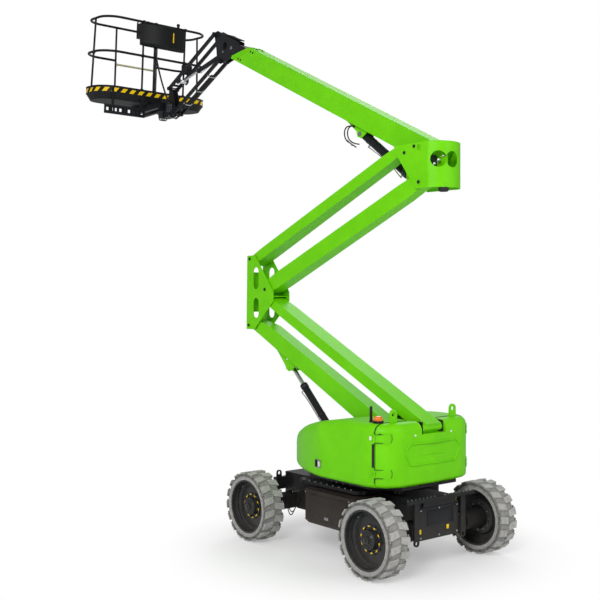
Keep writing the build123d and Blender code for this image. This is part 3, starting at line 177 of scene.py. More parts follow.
@shape
def box(bm, size, matrix, edge):
    """A box of full size with rounded edges."""
    made = bmesh.ops.create_cube(bm, size=1.0, matrix=matrix @ Matrix.Diagonal((*size, 1.0)))
    round_off(bm, edges_of(made["verts"]), edge)


@shape
def drum(bm, radius, length, matrix, sides=32, edge=0.0, top_radius=None):
    """A closed round bar centred on its place, along its place's Z."""
    made = bmesh.ops.create_cone(bm, cap_ends=True, segments=sides, radius1=radius,
                                 radius2=radius if top_radius is None else top_radius,
                                 depth=length, matrix=matrix)
    if edge > 0:
        round_off(bm, [e for e in edges_of(made["verts"])
                       if any(len(f.verts) > 4 for f in e.link_faces) and len(e.link_faces) == 2], edge)


@shape
def bolt(bm, centre, direction, across=0.019, height=0.008, washer=True):
    """A hexagon head on its washer."""
    d = Vector(direction).normalized()
    base = Vector(centre)
    if washer:
        drum(across * 0.68, 0.002, place(base + d * 0.001, d), 20)(bm)
        base = base + d * 0.002
    drum(across * 0.577, height, place(base + d * height / 2, d), 6, 0.0012)(bm)


@shape
def turned(bm, profile, matrix, sides=48):
    """A turned shape from (radius, height) points, round its place's Z."""
    points = [bm.verts.new(matrix @ Vector((radius, 0, height))) for radius, height in profile]
    edges = [bm.edges.new(pair) for pair in zip(points, points[1:])]
    bmesh.ops.spin(bm, geom=edges, cent=matrix.translation, axis=matrix.to_3x3() @ Z, angle=tau, steps=sides,
                   use_merge=True)


@shape
def ring(bm, radius, wire, matrix, sides, wire_sides=6):
    """A round wire bent into a ring, in its place's XY plane."""
    section = bmesh.ops.create_circle(bm, cap_ends=False, radius=wire, segments=wire_sides,
                                      matrix=matrix @ move((radius, 0, 0)) @ rotated(pi / 2, "X"))
    bmesh.ops.spin(bm, geom=edges_of(section["verts"]), cent=matrix.translation, axis=matrix.to_3x3() @ Z,
                   angle=tau, steps=sides, use_merge=True)


@shape
def slab(bm, outline, y0, y1, edge):
    """A plate whose outline lies in the X-Z plane, between two Y values."""
    vertices = [bm.verts.new((x, y0, z)) for x, z in outline]
    made = bmesh.ops.extrude_face_region(bm, geom=[bm.faces.new(vertices)])
    moved = [g for g in made["geom"] if isinstance(g, bmesh.types.BMVert)]
    bmesh.ops.translate(bm, verts=moved, vec=(0, y1 - y0, 0))
    round_off(bm, edges_of(vertices + moved), edge)


@shape
def patch(bm, rows, lift):
    """A thin skin over a grid of (point, outward direction) pairs, lifted off the surface."""
    made = [[bm.verts.new(point + normal * lift) for point, normal in row] for row in rows]
    for upper, lower in zip(made, made[1:]):
        for corners in zip(upper, upper[1:], lower[1:], lower):
            bm.faces.new(corners)


@shape
def hoop(bm, sections):
    """A closed bar through rings of points."""
    rings = [[bm.verts.new(point) for point in section] for section in sections]
    for a, b in zip(rings, rings[1:] + rings[:1]):
        for k in range(len(a)):
            after = (k + 1) % len(a)
            bm.faces.new((a[k], a[after], b[after], b[k]))


@shape
def fitting(bm, centre, direction, size):
    """A hose fitting: a hexagon nut, a collar and a crimped sleeve."""
    d = Vector(direction).normalized()
    for width, length, along, sides, edge in ((0.5, 0.45, 0.22, 6, 0.05), (0.36, 0.3, 0.6, 20, 0.0),
                                              (0.42, 0.8, 1.15, 20, 0.06)):
        drum(size * width, size * length, place(Vector(centre) + d * size * along, d), sides, size * edge)(bm)


@shape
def pin_keeper(bm, centre, side, size=1.0):
    """A dark bolt through a small round keeper on a pivot pin's end."""
    d = Vector((0, side, 0))
    drum(0.02 * size, 0.005, place(Vector(centre) + d * 0.0025, d), 28, 0.001)(bm)
    bolt(Vector(centre) + d * 0.005, d, 0.024 * size, 0.01)(bm)


def tube(name, body, radius, points, finish="hose_rubber", order=3, resolution=10, sides=4):
    """A bent bar or hose along a smooth line through its control points, as a mesh piece."""
    curve = bpy.data.curves.new(name, "CURVE")
    curve.dimensions = "3D"
    curve.bevel_depth = radius
    curve.bevel_resolution = sides
    curve.resolution_u = resolution
    curve.use_fill_caps = True
    spline = curve.splines.new("NURBS")
    spline.points.add(len(points) - 1)
    for point, spot in zip(spline.points, points):
        point.co = (*spot, 1.0)
    spline.order_u = order
    spline.use_endpoint_u = True
    drawn = add_object(name + "_line", curve)
    mesh = bpy.data.meshes.new_from_object(drawn)
    bpy.data.objects.remove(drawn)
    bpy.data.curves.remove(curve)
    mesh.name = name
    piece = add_object(name, mesh)
    mesh.materials.clear()
    mesh.materials.append(FINISHES[finish])
    mesh.shade_smooth()
    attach(piece, body)


# ---------------------------------------------------------------- places on the frame's own surfaces
TREES = {}


def skin(node, start, direction):
    """Where a line first meets a CAD node, and the surface's outward direction there."""
    if node not in TREES:
        mesh, world = NODES[node].data, NODES[node].matrix_world
        TREES[node] = BVHTree.FromPolygons([world @ v.co for v in mesh.vertices],
                                           [tuple(p.vertices) for p in mesh.polygons])
    hit, normal, _, _ = TREES[node].ray_cast(Vector(start), Vector(direction).normalized())
    if hit is None:
        raise RuntimeError("no surface of " + node + " at " + str(tuple(start)))
    return hit, (normal if normal.dot(Vector(direction)) < 0 else -normal)


def beside(node, side, x, z):
    """Where a CAD node's left or right face lies."""
    return skin(node, (x, side * 2.0, z), (0, -side, 0))


def seated(found, lift=0.0):
    """A place on a surface, facing out of it."""
    point, normal = found
    return place(point + normal * lift, normal)


def span(name):
    """A CAD node's lowest and highest corners."""
    low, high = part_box(name)
    return Vector(low), Vector(high)


# ---------------------------------------------------------------- finishes
FINISHES = {}
GREEN, CHARCOAL, BLACK = "green_gloss_enamel", "charcoal_satin_enamel", "black_chassis_enamel"
BROWN, WHEEL, RAIL = "brown_black_enamel", "wheel_enamel", "rail_powder_coat"
YELLOW, ABS, RUBBER, SEAL = "warning_yellow", "console_abs", "hose_rubber", "seal_rubber"
LABEL, CASTING, ZINC, CHROME = "pale_label", "machinery_castings", "zinc_plated_steel", "hard_chrome"
TYRE, AMBER, FLOOR, GATE = "non_marking_grey_rubber", "amber_polycarbonate", "floor_composite", "pale_gate_enamel"


class Finish:
    """A material in the making, with its shader and the patterns that finishes share."""

    def __init__(self, name, **values):
        material = bpy.data.materials.new(name)
        material.use_nodes = True
        self.tree = material.node_tree
        self.tree.nodes.clear()
        self.shader = self.node("BsdfPrincipled", values={key.replace("_", " "): v for key, v in values.items()})
        self.output = self.node("OutputMaterial", links={"Surface": self.shader.outputs["BSDF"]})
        self.place = self.node("TexCoord").outputs["Object"]
        FINISHES[name] = self.material = material

    def node(self, kind, settings=None, values=None, links=None):
        return add_node(self.tree, "ShaderNode" + kind, settings, values, links)

    def feed(self, socket, source):
        self.tree.links.new(source, self.shader.inputs[socket])

    def noise(self, size_mm, detail=2.0, roughness=0.5, vector=None):
        """A noise with patches of about this size."""
        return self.node("TexNoise", values={"Scale": 1000.0 / size_mm, "Detail": detail, "Roughness": roughness},
                         links={"Vector": vector or self.place}).outputs["Fac"]

    def ramp(self, source, *stops):
        """A colour that follows a pattern, from (position, hex colour) stops."""
        node = self.node("ValToRGB", links={"Fac": source})
        elements = node.color_ramp.elements
        while len(elements) < len(stops):
            elements.new(0.5)
        for element, (position, colour) in zip(elements, stops):
            element.position = position
            element.color = linear(colour)
        return node.outputs["Color"]

    def between(self, source, **values):
        """A pattern's value carried over to another range."""
        return self.node("MapRange", values={key.replace("_", " "): v for key, v in values.items()},
                         links={"Value": source}).outputs["Result"]

    def gloss(self, source, roughness, less, more):
        self.feed("Roughness", self.between(source, To_Min=roughness - less, To_Max=roughness + more))

    def bump(self, height, strength, distance):
        node = self.node("Bump", values={"Strength": strength, "Distance": distance}, links={"Height": height})
        self.feed("Normal", node.outputs["Normal"])


def enamel(name, base, toned_colour, roughness, coat, patch_mm=240.0, peel_mm=7.0, peel=0.03, dust=None, dust_top=0.5):
    """Sprayed enamel: a nearly even colour with faint patches, the fine peel of a sprayed coat and,
    where dust is given, a dry film that thickens towards the ground."""
    made = Finish(name, Specular_IOR_Level=0.15, Coat_Weight=coat, Coat_Roughness=0.18)
    patches = made.noise(patch_mm, 3.0, 0.55)
    colour = made.ramp(patches, (0.35, base), (0.72, toned_colour))
    if dust:
        split = made.node("SeparateXYZ", links={"Vector": made.place})
        height = made.between(split.outputs["Z"], From_Min=0.0, From_Max=dust_top, To_Min=0.42, To_Max=0.0)
        amount = made.node("Math", {"operation": "MULTIPLY"}, links={0: height, 1: made.noise(35.0, 6.0, 0.65)})
        colour = made.node("Mix", {"data_type": "RGBA"}, {"B": linear(dust)},
                           {"Factor": amount.outputs["Value"], "A": colour}).outputs["Result"]
    made.feed("Base Color", colour)
    made.gloss(patches, roughness, 0.05, 0.07)
    made.bump(made.noise(peel_mm, 1.0), peel, 0.0008)


def moulded(name, base, toned_colour, roughness, pebble_mm=3.0, relief=0.18, metallic=0.0):
    """Moulded plastic, rubber or a cast skin: an even colour over a pebbled surface."""
    made = Finish(name, Metallic=metallic, Specular_IOR_Level=0.25)
    patches = made.noise(60.0, 5.0, 0.6)
    made.feed("Base Color", made.ramp(patches, (0.32, base), (0.75, toned_colour)))
    made.gloss(patches, roughness, 0.08, 0.08)
    pebbles = made.node("TexVoronoi", values={"Scale": 1000.0 / pebble_mm}, links={"Vector": made.place})
    made.bump(pebbles.outputs["Distance"], relief, 0.0006)


def bare_metal(name, base, toned_colour, roughness, streak_mm, relief=0.05):
    """Turned, plated or chromed steel, with faint marks that run one way."""
    made = Finish(name, Metallic=1.0)
    stretch = made.node("Mapping", values={"Scale": (1.0, 0.15, 1.0)}, links={"Vector": made.place})
    marks = made.noise(streak_mm, 4.0, vector=stretch.outputs["Vector"])
    made.feed("Base Color", made.ramp(marks, (0.3, base), (0.75, toned_colour)))
    made.gloss(marks, roughness, 0.03, 0.06)
    made.bump(marks, relief, 0.0003)


def tyre_rubber():
    """Non-marking grey rubber: pale and dry, with painted shade that darkens the grooves against the lug tops."""
    made = Finish(TYRE, Roughness=0.82, Specular_IOR_Level=0.3)
    tint = made.ramp(made.noise(45.0, 8.0, 0.7), (0.25, "#8B8A87"), (0.5, "#A8A7A4"), (0.75, "#BBBAB7"))
    # Distance from the wheel's own axle line, which is the same height and offset on all four wheels.
    split = made.node("SeparateXYZ", links={"Vector": made.place})
    along = made.node("Math", {"operation": "ABSOLUTE"}, links={0: split.outputs["X"]})
    offset = made.node("CombineXYZ", links={"X": along.outputs["Value"], "Y": split.outputs["Z"]})
    from_axle = made.node("VectorMath", {"operation": "DISTANCE"}, {1: (AXLE_X, AXLE_Z, 0.0)},
                          {0: offset.outputs["Vector"]})
    # Painted shade: a ramp on the distance from the axle darkens the colour in the grooves and leaves the lug tops
    # pale.
    depth = made.ramp(made.between(from_axle.outputs["Value"], From_Min=0.36, From_Max=0.42),
                      (0.0, "#F2F2F2"), (0.14, "#A6A6A4"), (0.5, "#A6A6A4"), (0.86, "#FFFFFF"))
    # The random tint multiplied by the painted groove shade.
    toned_colour = made.node("Mix", {"data_type": "RGBA", "blend_type": "MULTIPLY"}, {"Factor": 1.0}, {"A": tint, "B": depth})
    made.feed("Base Color", toned_colour.outputs["Result"])
    made.bump(made.noise(4.0, 4.0), 0.3, 0.001)


def amber_lens():
    """Tinted polycarbonate: clear amber with a smooth moulded face."""
    made = Finish(AMBER, Roughness=0.15, Coat_Weight=0.6)
    made.feed("Base Color", made.ramp(made.noise(30.0), (0.3, "#E0660A"), (0.7, "#F58A1E")))


class LiftPaint(bpy.types.PropertyGroup):
    """Colours that an owner would change."""
    body: bpy.props.StringProperty(name="Body colour", description="Enamel on booms and hoods", default="#68C800")
    body_patch: bpy.props.StringProperty(name="Body patches", description="Second tone in the same enamel",
                                         default="#6FD004")
    dark: bpy.props.StringProperty(name="Dark parts", description="Enamel on the jib, cage and nose",
                                   default="#191A1E")
    chassis: bpy.props.StringProperty(name="Chassis", description="Enamel on the chassis and axles",
                                      default="#151517")


class LiftSizes(bpy.types.PropertyGroup):
    """Sizes of trim that an owner would change."""
    hose: bpy.props.FloatProperty(name="Hose radius", description="Outer radius of the hydraulic hoses",
                                  default=0.011, min=0.006, max=0.02, unit="LENGTH")
    bolt: bpy.props.FloatProperty(name="Bolt size", description="Width across a pin keeper's bolt head",
                                  default=0.024, min=0.01, max=0.04, unit="LENGTH")
    stripe: bpy.props.FloatProperty(name="Stripe width", description="Width of a warning stripe on the cage's rim",
                                    default=0.075, min=0.03, max=0.15, unit="LENGTH")


# The frame's own pieces are painted by their material slot, apart from the nodes that are named.
FINISH_OF_SLOT = {
    "tyre": TYRE, "rim_paint": WHEEL, "chassis_paint": BLACK, "side_box": BROWN, "counterweight": GREEN,
    "pin_steel": GREEN, "rod_chrome": CHROME, "machinery": CASTING, "amber_lens": AMBER, "dark_paint": CHARCOAL,
    "rail_paint": RAIL, "floor_composite": FLOOR, "console_plastic": ABS, "wear_pad": "nylon_pad",
    "gate_paint": GATE, "hood_paint": GREEN, "boom_paint": GREEN,
}
FINISH_OF_NODE = {
    "head_pins": ZINC, "nose_pins": ZINC, "lift_eye_pin": ZINC, "turret_frame": BLACK,
    "riser_cylinder_barrel": CHARCOAL, "lift_cylinder_barrel": CHARCOAL,
}


def mix_finishes(scene):
    """Every finish, with what it gives the eye, and then the paint on the frame."""
    paint = scene.lift_paint
    # Gloss enamel over smooth steel and moulded covers: clean, bright, softly reflective.
    enamel(GREEN, paint.body, paint.body_patch, 0.46, 0.04, peel=0.01)
    # Satin enamel on jib and cage steelwork: charcoal, low sheen.
    enamel(CHARCOAL, paint.dark, "#1D1E23", 0.36, 0.12, 120.0, 5.0, 0.03)
    # Chassis enamel: near black, with road dust low down.
    enamel(BLACK, paint.chassis, "#1E1E20", 0.4, 0.15, 150.0, 6.0, 0.06, "#6E675E", 0.75)
    # Enamel of the side lockers: a brownish black that takes more dust.
    enamel(BROWN, "#2A2522", "#332D2A", 0.55, 0.05, 180.0, 6.0, 0.06, "#6E675E", 0.8)
    # Wheel enamel: glossier black in the dish, dusty at the ground.
    enamel(WHEEL, "#1E1F22", "#2A2B2E", 0.34, 0.25, 90.0, 5.0, 0.05, "#6A645C", 0.8)
    # The gate bar's pale, worn cream.
    enamel(GATE, "#B9BA8C", "#C6C69E", 0.45, 0.1, 80.0)
    # Powder coat on the rails: fine, slightly pebbled, dark.
    enamel(RAIL, "#15161A", "#1D1E22", 0.42, 0.0, 90.0, 2.5, 0.14)
    # Warning tape: flat, saturated yellow.
    enamel(YELLOW, "#F0C808", "#E6BC06", 0.5, 0.0, 60.0)
    # Cage floor: matt, coarse, near black.
    moulded(FLOOR, "#101113", "#18191B", 0.55, 6.0, 0.25)
    # Console and boxes: smooth black plastic with a low shine.
    moulded(ABS, "#0B0C0E", "#121316", 0.34, 2.5, 0.12)
    # Hoses: dull black rubber.
    moulded(RUBBER, "#161617", "#232324", 0.55, 1.8, 0.1)
    # Weather seals and plugs: matt black rubber.
    moulded(SEAL, "#1E1F20", "#2A2B2C", 0.6, 2.0, 0.1)
    # Small blank labels and pale rivets: satin vinyl.
    moulded(LABEL, "#D9DAD6", "#E4E4E0", 0.5, 2.0, 0.05)
    # The stop button: bright moulded red.
    moulded("stop_red", "#B5161A", "#C41D20", 0.35, 2.0, 0.05)
    # Wear pads in the boom's mouth: waxy off-white.
    moulded("nylon_pad", "#D8D4C4", "#C8C2AE", 0.6)
    # Valves and motors: rough grey castings.
    moulded(CASTING, "#303234", "#424548", 0.6, 4.0, 0.3, metallic=0.2)
    # Zinc on bolts and fittings: pale, silky grey. Chrome on rods: a clean mirror.
    bare_metal(ZINC, "#9A9DA1", "#BCBEC0", 0.34, 14.0)
    bare_metal(CHROME, "#D9DBDE", "#E6E8EA", 0.12, 30.0, 0.02)
    tyre_rubber()
    amber_lens()
    for name, node in NODES.items():
        node.data.materials.clear()
        node.data.materials.append(FINISHES[FINISH_OF_NODE.get(name, FINISH_OF_SLOT[SLOT_OF[name]])])


class LIFT_OT_finishes(bpy.types.Operator):
    """Mixes every finish and paints the frame's own pieces"""
    bl_idname = "lift.finishes"
    bl_label = "Finishes"

    def execute(self, context):
        mix_finishes(context.scene)
        return {"FINISHED"}


# ---------------------------------------------------------------- wheels
WHEELS = (("front_left", 1), ("front_right", -1), ("rear_left", 1), ("rear_right", -1))
HUB_DEPTH = 0.056
DRUM_DEPTH = 0.135
HUB_COVER = ((0.0, 0.034), (0.038, 0.034), (0.044, 0.030), (0.046, 0.016), (0.074, 0.014), (0.08, 0.008),
             (0.088, 0.004), (0.092, -0.004), (0.0925, -0.02))
HUB_STEP = ((0.094, -0.03), (0.104, -0.034), (0.108, -0.042), (0.108, -0.056))
RIM_LIP = ((0.284, -0.028), (0.292, -0.01), (0.299, 0.006), (0.3005, 0.024))
INNER_DRUM = ((0.13, 0.055), (0.175, 0.052), (0.196, 0.040), (0.205, 0.012), (0.215, 0.0))
SIDEWALL_BEADS = (((0.322, -0.012), (0.326, -0.001), (0.333, 0.0015), (0.340, -0.001), (0.344, -0.012)),
                  ((0.352, -0.006), (0.354, 0.0015), (0.358, 0.0015), (0.360, -0.006)))
LUGS = 17


def dress_wheels():
    """The trim of each wheel turns with it."""
    for name, side in WHEELS:
        body = "wheel_" + name
        low, high = span("tyre_" + name)
        centre = (low + high) / 2
        centre.z = pivot(body + "_spin").z
        out = Vector((0, side, 0))
        half = (high.y - low.y) / 2
        face = centre + out * half
        hub = place(face - out * HUB_DEPTH, out)
        # Planetary hub: stepped cover, drain plug and a ring of bolts.
        make("hub_" + name, body, WHEEL, turned(HUB_COVER, hub), turned(HUB_STEP, hub),
             [bolt(hub @ rotated(a) @ Vector((0.062, 0, 0.0145)), out, 0.013, 0.006) for a in around(12)],
             bolt(hub @ Vector((0.0, 0, 0.034)), out, 0.026, 0.008, washer=False),
             turned(RIM_LIP, hub, 72))
        stem = hub @ rotated(0.6)
        make("studs_" + name, body, ZINC,
             drum(0.005, 0.045, place(stem @ Vector((0.262, 0, -0.035)), out), 14, 0.0008),
             drum(0.007, 0.012, place(stem @ Vector((0.262, 0, -0.008)), out), 8, 0.001),
             [drum(0.0065, 0.012, place(hub @ rotated(a) @ Vector((0.145, 0, -0.04)), out), 14, 0.001)
              for a in around(10)])
        # Yellow pointers over the wheel nuts, and the drum and its bolts on the inner side.
        make("nut_pointers_" + name, body, YELLOW,
             [box((0.016, 0.024, 0.005), hub @ rotated(a) @ move((0.140, 0, -0.0335)), 0.0015)
              for a in around(10, 0.16)])
        inner = place(face - out * DRUM_DEPTH, -out)
        make("drum_" + name, body, WHEEL, turned(INNER_DRUM, inner, 64))
        make("drum_bolts_" + name, body, ZINC,
             [bolt(inner @ rotated(a) @ Vector((0.152, 0, 0.0525)), -out, 0.015, 0.008) for a in around(12)])
        # Sidewall: two moulded beads and a short rib beside each shoulder lug.
        walls = [(place(centre + out * way * (half - 0.0005), out * way), 0.0 if way == 1 else 0.5) for way in SIDES]
        make("sidewall_" + name, body, TYRE,
             [([turned(bead, wall, 72) for bead in SIDEWALL_BEADS],
               [box((0.034, 0.058, 0.014),
                    wall @ rotated((index + first) * tau / LUGS + pi / 2) @ move((0.384, 0, -0.0065)), 0.004)
                for index in range(LUGS)]) for wall, first in walls])


class LIFT_OT_wheels(bpy.types.Operator):
    """Hub covers, valve stems, sidewall beads and shoulder ribs on the four wheels"""
    bl_idname = "lift.wheels"
    bl_label = "Wheels"

    def execute(self, context):
        dress_wheels()
        return {"FINISHED"}


# ---------------------------------------------------------------- chassis
def dress_chassis():
    """Trim that stays on the chassis."""
    # Side lockers: a raised door with a rounded edge, hinges and a latch.
    for name, side in HANDS:
        low, high = span("side_box_" + name)
        y = high.y if side > 0 else low.y
        middle = (low + high) / 2
        length = high.x - low.x
        make("locker_door_" + name, "chassis", BROWN,
             box((length - 0.16, 0.006, high.z - low.z - 0.12),
                 move((middle.x, y + side * 0.003, middle.z + 0.01)), 0.0028),
             [drum(0.007, 0.07, place((middle.x + dx, y + side * 0.008, high.z - 0.048), X), 16, 0.0015)
              for dx in (-0.24, 0.24)],
             box((length - 0.02, high.y - low.y - 0.06, 0.006),
                 move((middle.x, middle.y - side * 0.02, high.z + 0.003)), 0.0028))
        latch = Vector((middle.x, y + side * 0.006, low.z + 0.11))
        make("locker_latch_" + name, "chassis", ZINC,
             box((0.07, 0.006, 0.034), move(latch + Vector((0, side * 0.003, 0))), 0.002),
             box((0.045, 0.008, 0.012), move(latch + Vector((0, side * 0.008, 0.004))), 0.002),
             [bolt((middle.x + dx, y - side * 0.0005, z), (0, side, 0), 0.014, 0.006)
              for dx in (-0.38, 0.38) for z in (low.z + 0.05, high.z - 0.035)])
    # Slew ring bolts, standing on the deck around the ring.
    low, high = span("slew_ring")
    radius = (high.x - low.x) / 2 + 0.022
    make("slew_bolts", "chassis", ZINC,
         [bolt((radius * cos(a), radius * sin(a), low.z), Z, 0.022, 0.014) for a in around(28)])
    # Axle housings: bolted cover and flanges.
    steer = pivot("steer_left")
    for name in ("rear_axle", "front_axle"):
        low, high = span(name)
        x, z = (low.x + high.x) / 2, steer.z
        way = -1 if x < 0 else 1
        cover = place((x + way * 0.095, 0, z), (way, 0, 0))
        make(name + "_cover", "chassis", BLACK,
             turned(((0.0, 0.03), (0.055, 0.028), (0.078, 0.016), (0.084, 0.002), (0.084, 0.0)), cover),
             [bolt(cover @ Vector((0.0765 * cos(a), 0.0765 * sin(a), 0.012)), (way, 0, 0), 0.011, 0.006)
              for a in around(10, 0.3)],
             [(box((0.206, 0.016, 0.186), move((x, side * 0.40, z)), 0.005),
               [bolt((x + dx, side * 0.408, z + dz), (0, side, 0), 0.013, 0.007)
                for dx in (-0.088, 0.088) for dz in (-0.07, 0.0, 0.07)]) for side in SIDES])
    # Steering cylinder with its guards and feed hoses, behind the front axle.
    back = Vector((steer.x - 0.112, 0, steer.z + 0.118))

    def off(x, y, z):
        return back + Vector((x, y, z))

    make("steering_cylinder", "chassis", BLACK, drum(0.024, 0.46, place(back, Y), 28, 0.004),
         [(drum(0.029, 0.035, place(off(0, side * 0.215, 0), Y), 28, 0.003),
           box((0.03, 0.022, 0.055), move(off(0.006, side * 0.13, -0.03)), 0.003)) for side in SIDES])
    make("steering_rod", "chassis", CHROME,
         [(drum(0.011, 0.14, place(off(0, side * 0.285, 0), Y), 20, 0.001),
           fitting(off(0, side * 0.17, 0.022), Z, 0.022)) for side in SIDES])
    for index, side in enumerate(SIDES):
        start = off(0, side * 0.17, 0.05)
        tube(f"steering_hose_{index}", "chassis", 0.008,
             [start] + [start + Vector((dx, side * dy, dz)) for dx, dy, dz in (
                 (-0.01, 0.01, 0.05), (-0.1, 0.06, 0.06), (-0.16, 0.1, -0.02))] + [(0.80, side * 0.292, 0.50)])
    for index, (y, drop) in enumerate(((0.30, 0.13), (0.315, 0.17), (-0.31, 0.14))):
        tube(f"brake_hose_{index}", "chassis", 0.006,
             [(0.86, y - 0.004 * (1 if y > 0 else -1), 0.47), (0.9, y * 1.12, 0.43 - drop * 0.5),
              (0.95, y * 1.2, 0.4 - drop), (1.01, y * 1.22, 0.4 - drop * 0.6), (1.03, y * 1.2, 0.37)])
    # Rear plate: bolts round its edge, a blank pressed panel and yellow tags.
    low, high = span("rear_cover")
    x = low.x
    make("rear_cover_bolts", "chassis", ZINC,
         [bolt((x, y, z), (-1, 0, 0), 0.017) for y in (low.y + 0.03, 0, high.y - 0.03)
          for z in (low.z + 0.03, high.z - 0.03)])
    make("rear_panel", "chassis", CHARCOAL, box((0.006, 0.42, 0.17), move((x - 0.002, -0.02, 0.56)), 0.0025),
         box((0.006, 0.60, 0.03), move((x - 0.002, 0, 0.665)), 0.0025))
    make("rear_tags", "chassis", YELLOW,
         [box((0.004, 0.036, 0.05), move((x - 0.002, y, 0.43)), 0.0015) for y in (0.30, -0.14)],
         [box((0.05, 0.004, 0.03), move(spot), 0.0015) for spot in ((0.73, 0.292, 0.72), (-1.15, -0.302, 0.70))])
    # Bolts along the deck's edges.
    low, high = span("chassis_frame")
    make("deck_bolts", "chassis", ZINC,
         [([bolt((-0.42 + index * 0.105, side * 0.60, 0.8), Z, 0.016) for index in range(9)],
           [bolt((low.x + 0.0295, side * (0.08 + 0.06 * index), 0.79), Z, 0.014, 0.007) for index in range(8)])
          for side in SIDES])


class LIFT_OT_chassis(bpy.types.Operator):
    """Locker doors, slew bolts, axle fittings, steering cylinder, tags and hoses on the chassis"""
    bl_idname = "lift.chassis"
    bl_label = "Chassis"

    def execute(self, context):
        dress_chassis()
        return {"FINISHED"}


# ---------------------------------------------------------------- turret
TAIL = "counterweight_tail"
HINGE_HEIGHTS = (1.07, 1.45)


